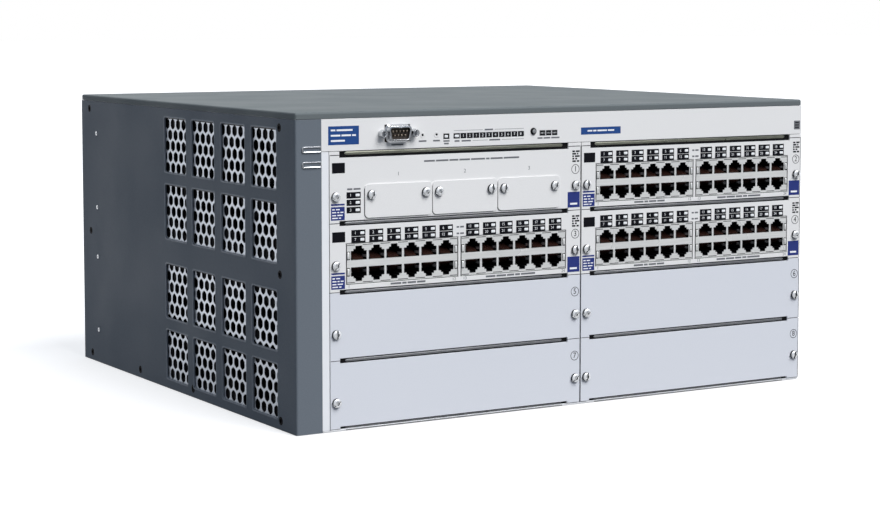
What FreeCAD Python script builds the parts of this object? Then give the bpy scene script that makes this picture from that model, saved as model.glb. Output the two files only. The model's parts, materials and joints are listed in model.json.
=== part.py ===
import FreeCAD, Part
import math
import os
import re
import Sketcher

# Managed ethernet switch: a modular chassis of five rack units with eight card slots.
# Frame: +X to the right as seen from the front, +Y to the back, +Z up, standing on z = 0.

# Driving dimensions in millimetres. Each is written once and everything else follows from them.
DIMENSIONS = {
    # Sheet metal of the case
    "skin": 1.2,
    "inner_sheet": 1.0,
    "frame_sheet": 2.0,
    "lid_lip": 4.5,
    "lid_round": 1.5,
    "seam": 0.3,
    "cover_gap": 0.3,
    "flange": 10,
    "strip_width": 20,
    "jamb_width": 5.7,
    # Slot rows and their plates
    "row_base": 1.2,
    "row_pitch": 47.4,
    "top_extra": 2.4,
    "header_height": 22,
    "plate_seam": 0.4,
    "seat_gap": 0.1,
    "tab_left": 8,
    "tab_right": 11.5,
    "relief": 1.8,
    "top_relief": 2.4,
    "slot_left": 9.5,
    "slot_right": 11,
    "rail_half": 3.2,
    "gasket_rise": 0.7,
    "gasket_edge": 0.2,
    # Captive screws
    "screw_edge": 5,
    "screw_rise": 18.5,
    "head_radius": 3.3,
    "head_height": 2.4,
    "head_rim": 1.2,
    "head_crown": 2.3,
    "screw_radius": 1.5,
    "screw_clear": 0.3,
    "screw_reach": 1.5,
    # Socket blocks of the port modules
    "port_pitch": 14,
    "port_width": 12.4,
    "port_height": 6.4,
    "step_width": 8.4,
    "step_height": 1.4,
    "latch_width": 5.2,
    "latch_height": 2,
    "port_depth": 15,
    "port_web": 4.9,
    "block_margin": 2.6,
    "block_first": 13.3,
    "block_gap": 2.8,
    "block_last": 13.65,
    "block_height": 27.6,
    "block_depth": 25,
    "block_clear": 0.5,
    # Bay covers of the transceiver module
    "bay_first": 27.6,
    "bay_last": 18.25,
    "bay_seam": 0.6,
    "bay_rise": 3,
    "bay_height": 23.3,
    "bay_sheet": 0.7,
    "bay_round": 3,
    "bay_lap": 4.5,
    "bay_screw_edge": 5,
    "bay_screw_rise": 16.1,
    # Boards, guides and backplane
    "board_sheet": 1.6,
    "board_rise": 3.9,
    "board_gap": 0.3,
    "board_inset": 0.8,
    "guide_width": 5,
    "guide_height": 6,
    "guide_groove": 1.5,
    "module_depth": 225,
    "link_depth": 14,
    "link_width": 80,
    "link_height": 10,
    "link_overhang": 8,
    "socket_depth": 5.7,
    "chip_side": 30,
    "chip_height": 3,
    "chip_set": 70,
    "chip_pitch": 52,
    "backplane_sheet": 2.4,
    "shelf_gap": 0.6,
    "shelf_left": 30.4,
    # Header fittings, measured from the header's left end and bottom edge
    "console_set": 59.3,
    "console_rise": 10.9,
    "shell_top": 20,
    "shell_bottom": 17,
    "shell_height": 11.8,
    "shell_wall": 1.7,
    "shell_proud": 5,
    "shell_flange_width": 31,
    "shell_flange_height": 12.5,
    "shell_flange": 1,
    "shell_clear": 0.2,
    "insert_recess": 2.5,
    "pin_side": 1,
    "pin_pitch": 2.77,
    "pin_row": 1.42,
    "jack_half": 12.5,
    "jack_radius": 2.9,
    "jack_height": 5,
    "reset_set": 79.5,
    "clear_set": 90.8,
    "mode_set": 171.9,
    "button_rise": 9,
    "pin_button_radius": 1.2,
    "pin_button_recess": 0.6,
    "mode_button_radius": 2.3,
    "mode_button_proud": 1.6,
    "button_clear": 0.3,
    "button_flange": 0.9,
    "button_flange_sheet": 1,
    "button_stem": 3.3,
    "switch_gap": 2,
    "switch_side": 6,
    "switch_depth": 4,
    "light_rise": 5.7,
    "light_height": 3.7,
    "light_depth": 6,
    "light_clear": 0.1,
    "self_test_set": 96.5,
    "self_test_width": 4.7,
    "status_set": 104.8,
    "status_width": 58.9,
    "mode_light_set": 177.3,
    "mode_light_width": 15.6,
    "standoff_radius": 3,
    "standoff_height": 2.2,
    "management_width": 230,
    "management_depth": 130,
    "management_set": 10.6,
    # Trim bars on the front return
    "trim_left": 5,
    "trim_length": 14.8,
    "trim_height": 4.4,
    "trim_sheet": 1,
    "trim_drop": 22.6,
    "trim_pitch": 10.3,
    "trim_round": 0.6,
    # Side windows and honeycomb
    "window_width": 40.5,
    "window_bar": 9.5,
    "window_height": 42.2,
    "window_rail": 8.8,
    "sill": 7,
    "hex_pitch": 9.9,
    "hex_rise": 8.33,
    "hex_flat": 7.6,
    "hex_front": 38.4,
    "hex_drop": 16.7,
    "hex_margin": 0.8,
    # Fans
    "fan_size": 92,
    "fan_depth": 25,
    "fan_bore": 43.5,
    "fan_hub": 19,
    "fan_apart": 9.1,
    "fan_front": 73.25,
    "fan_lift": 49.9,
    "fan_drop": 58.3,
    "fan_play": 0.5,
    "motor_plate": 3,
    "strut": 5,
    "blade_half": 9,
    "blade_sheet": 1.8,
    "blade_root": 14,
    "blade_gap": 1.2,
    "shaft_radius": 1.5,
    "shaft_gap": 0.05,
    # Side screws and rack nuts
    "side_screw_front": 24,
    "side_screw_back": 17,
    "side_screw_rise": 6.4,
    "side_screw_drop": 11,
    "side_screw_middle": 108,
    "side_screw_head": 3,
    "side_screw_gap": 0.1,
    "sill_screw_first": 118.3,
    "sill_screw_pitch": 101.1,
    "rack_set": 31.5,
    "rack_middle": 108,
    "rack_outer": 81,
    "rack_inner": 20.4,
    "nut_radius": 2.8,
    "nut_bore": 1.7,
    "nut_length": 6,
    "nut_gap": 0.05,
    # Power supply and the rear bays
    "power_gap": 12.4,
    "psu_depth": 135,
    "psu_width": 164,
    "psu_height": 84,
    "psu_play": 1,
    "psu_lift": 0.3,
    "face_apart": 0.5,
    "rail_height": 4.8,
    "rail_width": 14,
    "face_lap": 5,
    "face_seat": 0.2,
    "face_sheet": 1.5,
    "power_link_width": 60,
    "power_link_height": 30,
    "inlet_width": 28,
    "inlet_height": 22,
    "inlet_wall": 2.5,
    "inlet_depth": 20,
    "inlet_floor": 3,
    "inlet_set": 60,
    "inlet_proud": 1.5,
    "blade_pin_width": 4,
    "blade_pin_sheet": 2,
    "blade_pin_length": 11,
    "blade_pin_pitch": 7,
    "blade_pin_drop": 2,
    "handle_span": 70,
    "handle_reach": 24,
    "handle_bar": 4,
    "handle_height": 14,
    "handle_foot": 12,
    "vent_slot": 3,
    "vent_slot_pitch": 7,
    "vent_slot_height": 46,
    "vent_slot_depth": 4,
    "vent_slot_set": 14,
    "thumb_radius": 5,
    "thumb_height": 8,
    "thumb_rise": 78,
}

ROWS = 4
COLUMNS = 2
PORTS_PER_ROW = 6
BAYS = 3
BLADES = 7
VENT_SLOTS = 9

doc = FreeCAD.newDocument("ethernet_switch")
sheet = doc.addObject("Spreadsheet::Sheet", "Dims")
for number, (alias, size) in enumerate(DIMENSIONS.items(), start=1):
    sheet.set(f"A{number}", alias)
    sheet.set(f"B{number}", str(size))
    sheet.setAlias(f"B{number}", alias)
doc.recompute()

# The finished sub-parts, in the order in which they are written.
parts = []


# Formulas
def bound(formula):
    """Write the size words of a formula as references to the sheet."""
    def reference(word):
        return f"Dims.{word.group()}" if word.group() in DIMENSIONS else word.group()

    return re.sub(r"[a-z]\w*", reference, formula)


def value(formula):
    """The present value of a formula in millimetres."""
    return float(sheet.evalExpression(bound(formula)))


BLOCK = f"({PORTS_PER_ROW} * port_pitch + 2 * block_margin)"
COLUMN = f"(block_first + 2 * {BLOCK} + block_gap + block_last)"
WIDTH = f"(strip_width + jamb_width + {COLUMNS} * {COLUMN})"
DEPTH = "(module_depth + link_depth + backplane_sheet + power_gap + psu_depth + skin)"
HEADER_BOTTOM = f"(row_base + {ROWS} * row_pitch + top_extra)"
HEADER_TOP = f"({HEADER_BOTTOM} + header_height)"
HEIGHT = f"({HEADER_TOP} + seam + lid_lip)"
LEFT = f"(-{WIDTH} / 2)"
RIGHT = f"({WIDTH} / 2)"
FRONT = f"(-{DEPTH} / 2)"
BACK = f"({DEPTH} / 2)"
HEADER_LEFT = f"({LEFT} + strip_width)"
FRAME_FRONT = f"({FRONT} + skin)"
FRAME_BACK = f"({FRAME_FRONT} + frame_sheet)"
WALL_NEAR = "(skin + cover_gap)"
WALL_FAR = "(skin + cover_gap + inner_sheet)"
BACKPLANE = f"({FRONT} + module_depth + link_depth)"
SHELF = f"(row_base + {ROWS} * row_pitch + shelf_gap)"
MANAGEMENT = f"({SHELF} + inner_sheet + standoff_height)"
BAY_PITCH = f"(({COLUMN} - bay_first - bay_last) / {BAYS})"
PSU_BACK = f"({BACK} + face_seat + face_sheet)"
PSU_BOTTOM = "(skin + rail_height + psu_lift)"


def line(row):
    """Height of the line under a slot row, counted from the bottom."""
    return f"(row_base + {row} * row_pitch)"


def column(number):
    """Left edge of a column of slots."""
    return f"({LEFT} + strip_width + jamb_width + {number} * {COLUMN})"


def inward(side, near, far):
    """A span across X between two depths behind the left or right face of the case."""
    if side == "left":
        return (f"{LEFT} + {near}", f"{LEFT} + {far}")
    return (f"{RIGHT} - ({far})", f"{RIGHT} - ({near})")


# Solids
AXES = {"x": FreeCAD.Vector(1, 0, 0), "y": FreeCAD.Vector(0, 1, 0), "z": FreeCAD.Vector(0, 0, 1)}


def place(item, start):
    """Bind an object's position to three formulas."""
    for letter, formula in zip("xyz", start):
        item.setExpression(f"Placement.Base.{letter}", bound(formula))


def block(name, x, y, z):
    """A box between two formulas on each axis."""
    solid = doc.addObject("Part::Box", name)
    for side, (low, high) in zip(("Length", "Width", "Height"), (x, y, z)):
        solid.setExpression(side, bound(f"({high}) - ({low})"))
    place(solid, (x[0], y[0], z[0]))
    return solid


def rod(name, radius, axis, start, length):
    """A cylinder along an axis of the frame."""
    solid = doc.addObject("Part::Cylinder", name)
    solid.Placement = FreeCAD.Placement(FreeCAD.Vector(), FreeCAD.Rotation(AXES["z"], AXES[axis]))
    solid.setExpression("Radius", bound(radius))
    solid.setExpression("Height", bound(length))
    place(solid, start)
    return solid


def cone(name, radii, axis, start, length):
    """A cone along an axis of the frame, from its first radius to its second."""
    solid = doc.addObject("Part::Cone", name)
    solid.Placement = FreeCAD.Placement(FreeCAD.Vector(), FreeCAD.Rotation(AXES["z"], AXES[axis]))
    solid.setExpression("Radius1", bound(radii[0]))
    solid.setExpression("Radius2", bound(radii[1]))
    solid.setExpression("Height", bound(length))
    place(solid, start)
    return solid


def gather(name, pieces):
    """Several separate solids under one name."""
    group = doc.addObject("Part::Compound", name)
    group.Links = pieces
    return group


def fuse(name, pieces):
    joined = doc.addObject("Part::MultiFuse", name)
    joined.Shapes = pieces
    return joined


def cut(name, base, tools):
    result = doc.addObject("Part::Cut", name)
    result.Base = base
    result.Tool = tools[0] if len(tools) == 1 else gather(f"{name}_tools", tools)
    return result


def rounded(name, base, radius, chosen):
    """Round the edges whose middle point passes a test."""
    doc.recompute()
    size = value(radius)
    result = doc.addObject("Part::Fillet", name)
    result.Base = base
    edges = enumerate(base.Shape.Edges, start=1)
    result.Edges = [(count, size, size) for count, edge in edges if chosen(edge.CenterOfMass)]
    return result


def feature(name, shape):
    """A sub-part whose shape is drawn directly."""
    item = doc.addObject("Part::Feature", name)
    item.Shape = shape
    return item


def finish(*items):
    """Mark objects as finished sub-parts."""
    parts.extend(items)


def near(first, second):
    """Whether two lengths are the same within a thousandth."""
    return abs(first - second) < 1e-3


# Sketches
def sketch(body, name, plane, offset, loops, circles=()):
    """A sketch on one of the body's origin planes, with every point held by formulas."""
    drawing = body.newObject("Sketcher::SketchObject", f"{body.Name}_{name}")
    planes = body.Origin.OriginFeatures
    drawing.AttachmentSupport = (next(item for item in planes if item.Role == plane), [""])
    drawing.MapMode = "FlatFace"
    drawing.setExpression("AttachmentOffset.Base.z", bound(offset))
    rules = []
    formulas = {}

    def hold(curve, end, pair):
        for kind, formula in zip(("DistanceX", "DistanceY"), pair):
            formulas[len(rules)] = formula
            rules.append(Sketcher.Constraint(kind, curve, end, value(formula)))

    for corners in loops:
        first = drawing.GeometryCount
        points = [FreeCAD.Vector(value(u), value(v), 0) for u, v in corners]
        for start, end in zip(points, points[1:] + points[:1]):
            drawing.addGeometry(Part.LineSegment(start, end), False)
        for step, pair in enumerate(corners):
            following = first + (step + 1) % len(corners)
            rules.append(Sketcher.Constraint("Coincident", first + step, 2, following, 1))
            hold(first + step, 1, pair)
    for centre, radius in circles:
        middle = FreeCAD.Vector(value(centre[0]), value(centre[1]), 0)
        curve = drawing.addGeometry(Part.Circle(middle, AXES["z"], value(radius)), False)
        hold(curve, 3, centre)
        formulas[len(rules)] = radius
        rules.append(Sketcher.Constraint("Radius", curve, value(radius)))
    drawing.addConstraint(rules)
    for count, formula in formulas.items():
        drawing.setExpression(f"Constraints[{count}]", bound(formula))
    return drawing


def rectangle(x, y):
    return [(x[0], y[0]), (x[1], y[0]), (x[1], y[1]), (x[0], y[1])]


def pad(body, name, profile, length):
    item = body.newObject("PartDesign::Pad", f"{body.Name}_{name}")
    item.Profile = profile
    item.setExpression("Length", bound(length))
    return item


def pocket(body, name, profile, length):
    item = body.newObject("PartDesign::Pocket", f"{body.Name}_{name}")
    item.Profile = profile
    item.setExpression("Length", bound(length))
    return item


def new_body(name):
    return doc.addObject("PartDesign::Body", name)


# Side windows, fans and side fasteners share these places
def fan_centres():
    """Depth behind the front and height of each fan, from the front and from the top."""
    depths = ("fan_front", "(fan_front + fan_size + fan_apart)")
    heights = (f"({HEIGHT} - fan_drop)", "fan_lift")
    return [(depth, height) for height in heights for depth in depths]


def windows():
    """The four windows in front of each fan, as spans behind the front and in height."""
    spans = []
    for depth, height in fan_centres():
        across = [f"({depth} - window_bar / 2 - window_width)", f"({depth} + window_bar / 2)"]
        up = [f"({height} - window_rail / 2 - window_height)", f"({height} + window_rail / 2)"]
        for near_edge in across:
            for low_edge in up:
                low = f"max({low_edge}; sill)"
                spans.append(((near_edge, f"{near_edge} + window_width"),
                              (low, f"({low_edge} + window_height)")))
    return spans


def side_screws():
    """Depth behind the front and height of the countersunk screws on one side."""
    heights = ("side_screw_rise", "side_screw_middle", f"({HEIGHT} - side_screw_drop)")
    ends = ("side_screw_front", f"({DEPTH} - side_screw_back)")
    places = [(depth, height) for depth in ends for height in heights]
    for count in range(2):
        depth = f"({DEPTH} - sill_screw_first - {count} * sill_screw_pitch)"
        places.append((depth, "side_screw_rise"))
    return places


def rack_nuts():
    """Depth behind the front and height of the four rack-bracket nuts on one side."""
    steps = ("rack_outer", "rack_inner", "-rack_inner", "-rack_outer")
    return [(f"({DEPTH} - rack_set)", f"(rack_middle + {step})") for step in steps]


# Case
def top_cover():
    lid = block("lid_blank", (LEFT, RIGHT), (FRONT, BACK), (f"{HEIGHT} - lid_lip", HEIGHT))
    top = value(HEIGHT)
    lip_middle = value(f"{HEIGHT} - lid_lip / 2")
    formed = rounded("lid_formed", lid, "lid_round",
                     lambda point: near(point.z, top) or near(point.z, lip_middle))
    hollow = block("lid_hollow", (f"{LEFT} + skin", f"{RIGHT} - skin"),
                   (f"{FRONT} + skin", f"{BACK} - skin"), (f"{HEIGHT} - lid_lip", f"{HEIGHT} - skin"))
    finish(cut("top_cover", formed, [hollow]))


def side_cut_outs(side):
    """Windows, countersinks and nut holes through one side cover."""
    sheet_span = inward(side, "0", "skin")
    tools = []
    for number, (depth, height) in enumerate(windows()):
        tools.append(block(f"{side}_window_{number}", sheet_span,
                           (f"{FRONT} + {depth[0]}", f"{FRONT} + {depth[1]}"), height))
    outer = "side_screw_head + side_screw_gap"
    inner = "screw_radius + side_screw_gap"
    radii = (outer, inner) if side == "left" else (inner, outer)
    for number, (depth, height) in enumerate(side_screws()):
        tools.append(cone(f"{side}_countersink_{number}", radii, "x",
                          (sheet_span[0], f"{FRONT} + {depth}", height), "skin"))
    for number, (depth, height) in enumerate(rack_nuts()):
        tools.append(rod(f"{side}_nut_hole_{number}", "nut_radius + nut_gap", "x",
                         (sheet_span[0], f"{FRONT} + {depth}", height), "skin"))
    return tools


def side_covers():
    panel = block("left_sheet", inward("left", "0", "skin"), (FRONT, BACK), ("0", HEADER_TOP))
    turned = block("left_return", (LEFT, HEADER_LEFT), (FRONT, FRAME_FRONT), ("0", HEADER_TOP))
    folded = fuse("left_folded", [panel, turned])
    corner = (value(LEFT), value(FRONT))
    bent = rounded("left_bent", folded, "lid_round",
                   lambda point: near(point.x, corner[0]) and near(point.y, corner[1]))
    finish(cut("left_side_cover", bent, side_cut_outs("left")))
    flat = block("right_sheet", inward("right", "0", "skin"), (FRAME_FRONT, BACK), ("0", HEADER_TOP))
    finish(cut("right_side_cover", flat, side_cut_outs("right")))


def cover_screws():
    screws = []
    for side in ("left", "right"):
        head_span = inward(side, "0", "skin")
        shank_span = inward(side, "skin", f"{WALL_FAR} - side_screw_gap")
        radii = ("side_screw_head", "screw_radius")
        radii = radii if side == "left" else radii[::-1]
        for number, (depth, height) in enumerate(side_screws()):
            head = cone(f"{side}_screw_head_{number}", radii, "x",
                        (head_span[0], f"{FRONT} + {depth}", height), "skin")
            shank = rod(f"{side}_screw_shank_{number}", "screw_radius", "x",
                        (shank_span[0], f"{FRONT} + {depth}", height),
                        f"{WALL_FAR} - skin - side_screw_gap")
            screws.append(fuse(f"{side}_screw_{number}", [head, shank]))
    finish(gather("cover_screws", screws))


def rack_nut_group():
    nuts = []
    for side in ("left", "right"):
        start = inward(side, "0", "nut_length")[0]
        for number, (depth, height) in enumerate(rack_nuts()):
            spot = (start, f"{FRONT} + {depth}", height)
            barrel = rod(f"{side}_nut_barrel_{number}", "nut_radius", "x", spot, "nut_length")
            bore = rod(f"{side}_nut_bore_{number}", "nut_bore", "x", spot, "nut_length")
            nuts.append(cut(f"{side}_nut_{number}", barrel, [bore]))
    finish(gather("rack_nuts", nuts))


def wall_flanges(side):
    """Top and bottom flanges of an inner wall, folded inward."""
    spans = (("skin", "skin + inner_sheet"), (f"{HEIGHT} - skin - inner_sheet", f"{HEIGHT} - skin"))
    reach = inward(side, WALL_NEAR, f"{WALL_NEAR} + flange")
    run = (FRAME_BACK, f"{BACK} - skin")
    return [block(f"{side}_flange_{number}", reach, run, span) for number, span in enumerate(spans)]


def hexagon(depth, height):
    """One cell of the honeycomb, standing on a corner, in the plane of the wall."""
    radius = value("hex_flat") / math.sqrt(3)
    corners = []
    for step in range(7):
        angle = math.radians(90 + 60 * step)
        corners.append(FreeCAD.Vector(0, depth + radius * math.cos(angle), height + radius * math.sin(angle)))
    return Part.makePolygon(corners)


def honeycomb():
    """Cells of one even lattice whose middles lie inside the side windows, clear of the side screws."""
    pitch = value("hex_pitch")
    rise = value("hex_rise")
    top = value(f"{HEIGHT} - hex_drop")
    start = value("hex_front")
    front = value(FRONT)
    room = value("hex_flat / 2 + side_screw_head + hex_margin")
    fasteners = [(front + value(depth), value(height)) for depth, height in side_screws()]
    cells = []
    for depth, height in windows():
        low_y, high_y = (front + value(edge) for edge in depth)
        low_z, high_z = (value(edge) for edge in height)
        for row in range(math.ceil((top - high_z) / rise), math.floor((top - low_z) / rise) + 1):
            first_cell = front + start + pitch / 2 * (row % 2)
            first = math.ceil((low_y - first_cell) / pitch)
            last = math.floor((high_y - first_cell) / pitch)
            for count in range(first, last + 1):
                spot = (first_cell + count * pitch, top - row * rise)
                if all(math.dist(spot, centre) > room for centre in fasteners):
                    cells.append(hexagon(*spot))
    return cells


def round_hole(depth, height, radius):
    """A round hole through the wall, as a wire in its plane."""
    centre = FreeCAD.Vector(0, value(f"{FRONT} + {depth}"), value(height))
    return Part.Wire(Part.Circle(centre, AXES["x"], value(radius)).toShape())


def left_inner_wall():
    low = FreeCAD.Vector(0, value(FRAME_FRONT), value("skin"))
    high = FreeCAD.Vector(0, value(f"{BACK} - skin"), value(f"{HEIGHT} - skin"))
    outline = Part.makePolygon([low, FreeCAD.Vector(0, high.y, low.z), high,
                                FreeCAD.Vector(0, low.y, high.z), low])
    holes = honeycomb()
    holes += [round_hole(*spot, "screw_radius + side_screw_gap") for spot in side_screws()]
    holes += [round_hole(*spot, "nut_radius + nut_gap") for spot in rack_nuts()]
    panel = Part.Face([outline] + holes, "Part::FaceMakerCheese")
    panel = panel.extrude(AXES["x"] * value("inner_sheet"))
    panel.translate(AXES["x"] * value(f"{LEFT} + {WALL_NEAR}"))
    web = feature("honeycomb_web", panel)
    finish(fuse("left_inner_wall", [web] + wall_flanges("left")))


def right_inner_wall():
    span = inward("right", WALL_NEAR, WALL_FAR)
    web = block("right_web", span, (FRAME_FRONT, f"{BACK} - skin"), ("skin", f"{HEIGHT} - skin"))
    tools = []
    for number, (depth, height) in enumerate(windows()):
        tools.append(block(f"right_vent_{number}", span,
                           (f"{FRONT} + {depth[0]}", f"{FRONT} + {depth[1]}"), height))
    for number, (depth, height) in enumerate(side_screws()):
        tools.append(rod(f"right_tap_{number}", "screw_radius + side_screw_gap", "x",
                         (span[0], f"{FRONT} + {depth}", height), "inner_sheet"))
    for number, (depth, height) in enumerate(rack_nuts()):
        tools.append(rod(f"right_nut_seat_{number}", "nut_radius + nut_gap", "x",
                         (span[0], f"{FRONT} + {depth}", height), "inner_sheet"))
    vented = cut("right_vented", web, tools)
    finish(fuse("right_inner_wall", [vented] + wall_flanges("right")))


def base_pan():
    floor = block("floor", (f"{LEFT} + skin", f"{RIGHT} - skin"), (FRAME_FRONT, BACK), ("0", "skin"))
    lip = block("front_lip", (f"{HEADER_LEFT} + seam", f"{RIGHT} - skin"), (FRONT, FRAME_FRONT),
                ("0", "row_base - plate_seam / 2"))
    finish(fuse("base_pan", [floor, lip]))


def bay_span(side):
    """Width of a rear supply bay: the supply's width and its play."""
    near_edge = "(face_apart + face_lap + 2 * thumb_radius)"
    far_edge = f"({near_edge} + psu_width + 2 * psu_play)"
    return (near_edge, far_edge) if side == "right" else (f"(-{far_edge})", f"(-{near_edge})")


def rear_panel():
    panel = block("rear_sheet", (f"{LEFT} + skin", f"{RIGHT} - skin"), (f"{BACK} - skin", BACK),
                  ("skin", HEADER_TOP))
    tools = []
    for side in ("left", "right"):
        tools.append(block(f"{side}_bay_opening", bay_span(side), (f"{BACK} - skin", BACK),
                           ("skin + rail_height", f"{PSU_BOTTOM} + psu_height + psu_play")))
        for number, spot in enumerate(thumb_spots(side)):
            tools.append(rod(f"{side}_thumb_hole_{number}", "screw_radius + screw_clear", "y",
                             (spot[0], f"{BACK} - skin", spot[1]), "skin"))
    finish(cut("rear_panel", panel, tools))


def thumb_spots(side):
    """Places of the two screws that hold a supply or a bay cover."""
    edges = bay_span(side)
    inset = "(face_lap + thumb_radius)"
    return [(f"{edges[0]} - {inset}", "thumb_rise"), (f"{edges[1]} + {inset}", "thumb_rise")]


# Front
def slot_opening(row, number):
    """The hole in the front frame behind one plate."""
    return ((f"{column(number)} + slot_left", f"{column(number + 1)} - slot_right"),
            (f"{line(row)} + rail_half", f"{line(row + 1)} - rail_half"))


def screw_spots(row, number):
    """Places of a plate's two captive screws."""
    height = f"({line(row)} + screw_rise)"
    return [(f"({column(number)} + screw_edge)", height), (f"({column(number + 1)} - screw_edge)", height)]


def front_frame():
    span = inward("left", WALL_FAR, f"{WIDTH} - {WALL_FAR}")
    web = block("frame_web", span, (FRAME_FRONT, FRAME_BACK), ("skin", f"{HEIGHT} - skin"))
    tools = []
    for row in range(ROWS):
        for number in range(COLUMNS):
            across, up = slot_opening(row, number)
            tools.append(block(f"slot_{row}_{number}", across, (FRAME_FRONT, FRAME_BACK), up))
            for end, (x, z) in enumerate(screw_spots(row, number)):
                tools.append(rod(f"tapped_{row}_{number}_{end}", "screw_radius + screw_clear", "y",
                                 (x, FRAME_FRONT, z), "frame_sheet"))
    tools.append(block("header_opening", (f"{HEADER_LEFT} + jamb_width", f"{HEADER_LEFT} + management_width"),
                       (FRAME_FRONT, FRAME_BACK),
                       (f"{MANAGEMENT} - board_gap", f"{HEADER_TOP} - rail_half")))
    pierced = cut("frame_pierced", web, tools)
    jamb = block("jamb", (HEADER_LEFT, f"{column(0)} - plate_seam / 2"), (FRONT, FRAME_FRONT),
                 ("skin", f"{HEADER_BOTTOM} - seam"))
    finish(fuse("front_frame", [pierced, jamb]))


def slot_gaskets():
    """Bowed spring strips on the frame, in the open lines above and below the plates."""
    strips = []
    face = value(FRAME_FRONT)
    rise = value("gasket_rise")
    for number in range(COLUMNS):
        left = value(f"{column(number)} + tab_left")
        length = value(f"{COLUMN} - tab_left - tab_right")
        for row in range(ROWS + 1):
            low = value(f"{line(row)} - relief + gasket_edge")
            high = value(f"{line(row)} + relief - gasket_edge")
            if row == 0:
                low = value(f"{line(row)} + gasket_edge")
            if row == ROWS:
                low = value(f"{line(row)} - top_relief + gasket_edge")
                high = value(f"{HEADER_BOTTOM} - gasket_edge")
            foot = FreeCAD.Vector(left, face, low)
            crown = FreeCAD.Vector(left, face - rise, (low + high) / 2)
            head = FreeCAD.Vector(left, face, high)
            bow = Part.Arc(foot, crown, head).toShape()
            chord = Part.LineSegment(head, foot).toShape()
            strips.append(Part.Face(Part.Wire([bow, chord])).extrude(AXES["x"] * length))
    finish(feature("slot_gaskets", Part.makeCompound(strips)))


def captive_screw(name, spot, seat, reach):
    """A bright pan-headed screw, standing out from the front and reaching back."""
    x, z = spot
    rim = rod(f"{name}_rim", "head_radius", "y", (x, f"{seat} - head_rim", z), "head_rim")
    crown = cone(f"{name}_crown", ("head_crown", "head_radius"), "y", (x, f"{seat} - head_height", z),
                 "head_height - head_rim")
    shank = rod(f"{name}_shank", "screw_radius", "y", (x, seat, z), reach)
    return fuse(name, [rim, crown, shank])


PLATE_REACH = "(skin + frame_sheet + screw_reach)"


def plate_screws(name, row, number):
    """The two captive screws of one plate."""
    spots = enumerate(screw_spots(row, number))
    return [captive_screw(f"{name}_{end}", spot, FRONT, PLATE_REACH) for end, spot in spots]


def plate(name, row, number, openings=()):
    """A slot plate: full height at its end tabs, cut back between them for the gaskets."""
    left = f"({column(number)} + plate_seam / 2)"
    right = f"({column(number + 1)} - plate_seam / 2)"
    tab_in = f"({column(number)} + tab_left)"
    tab_out = f"({column(number + 1)} - tab_right)"
    bottom = f"({line(row)} + plate_seam / 2)"
    low = f"({line(row)} + relief)"
    top = f"({line(row + 1)} - plate_seam / 2)"
    high = f"({line(row + 1)} - relief)"
    if row == ROWS - 1:
        top = f"({HEADER_BOTTOM} - seam)"
        high = f"({line(row + 1)} - top_relief)"
    outline = [(left, bottom), (tab_in, bottom), (tab_in, low), (tab_out, low), (tab_out, bottom),
               (right, bottom), (right, top), (tab_out, top), (tab_out, high), (tab_in, high),
               (tab_in, top), (left, top)]
    holes = [(spot, "screw_radius + screw_clear") for spot in screw_spots(row, number)]
    body = new_body(name)
    profile = sketch(body, "outline", "XZ_Plane", f"-{FRAME_FRONT} + seat_gap",
                     [outline] + list(openings), holes)
    pad(body, "sheet", profile, "skin - seat_gap")
    return body


def blank_plates():
    screws = []
    slots = [(row, number) for row in (1, 0) for number in range(COLUMNS)]
    for count, (row, number) in enumerate(slots, start=1):
        finish(plate(f"blank_plate_{count}", row, number))
        screws += plate_screws(f"blank_{count}_screw", row, number)
    return screws


def header_panel():
    panel = block("header_sheet", (HEADER_LEFT, RIGHT), (FRONT, FRAME_FRONT), (HEADER_BOTTOM, HEADER_TOP))
    tools = [block("console_cut_out", console_span("shell_top / 2 + shell_clear"), (FRONT, FRAME_FRONT),
                   console_height("shell_height / 2 + shell_clear"))]
    for sign in ("-", "+"):
        tools.append(rod(f"jack_hole_{len(tools)}", "screw_radius + button_clear", "y",
                         (f"{HEADER_LEFT} + console_set {sign} jack_half", FRONT,
                          f"{HEADER_BOTTOM} + console_rise"), "skin"))
    for name, (spot, radius, _) in BUTTONS.items():
        tools.append(rod(f"{name}_hole", f"{radius} + button_clear", "y", button_place(spot, FRONT), "skin"))
    for name, (start, width) in LIGHTS.items():
        tools.append(block(f"{name}_window",
                           (f"{HEADER_LEFT} + {start} - light_clear",
                            f"{HEADER_LEFT} + {start} + {width} + light_clear"), (FRONT, FRAME_FRONT),
                           (f"{HEADER_BOTTOM} + light_rise - light_clear",
                            f"{HEADER_BOTTOM} + light_rise + light_height + light_clear")))
    finish(cut("header_panel", panel, tools))


def console_span(half):
    return (f"{HEADER_LEFT} + console_set - ({half})", f"{HEADER_LEFT} + console_set + {half}")


def console_height(half):
    return (f"{HEADER_BOTTOM} + console_rise - ({half})", f"{HEADER_BOTTOM} + console_rise + {half}")


def trapezium(top, bottom, height):
    """The D outline of the console connector, wider at its top."""
    low, high = console_height(f"({height}) / 2")
    narrow = console_span(f"({bottom}) / 2")
    wide = console_span(f"({top}) / 2")
    return [(narrow[0], low), (narrow[1], low), (wide[1], high), (wide[0], high)]


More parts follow.
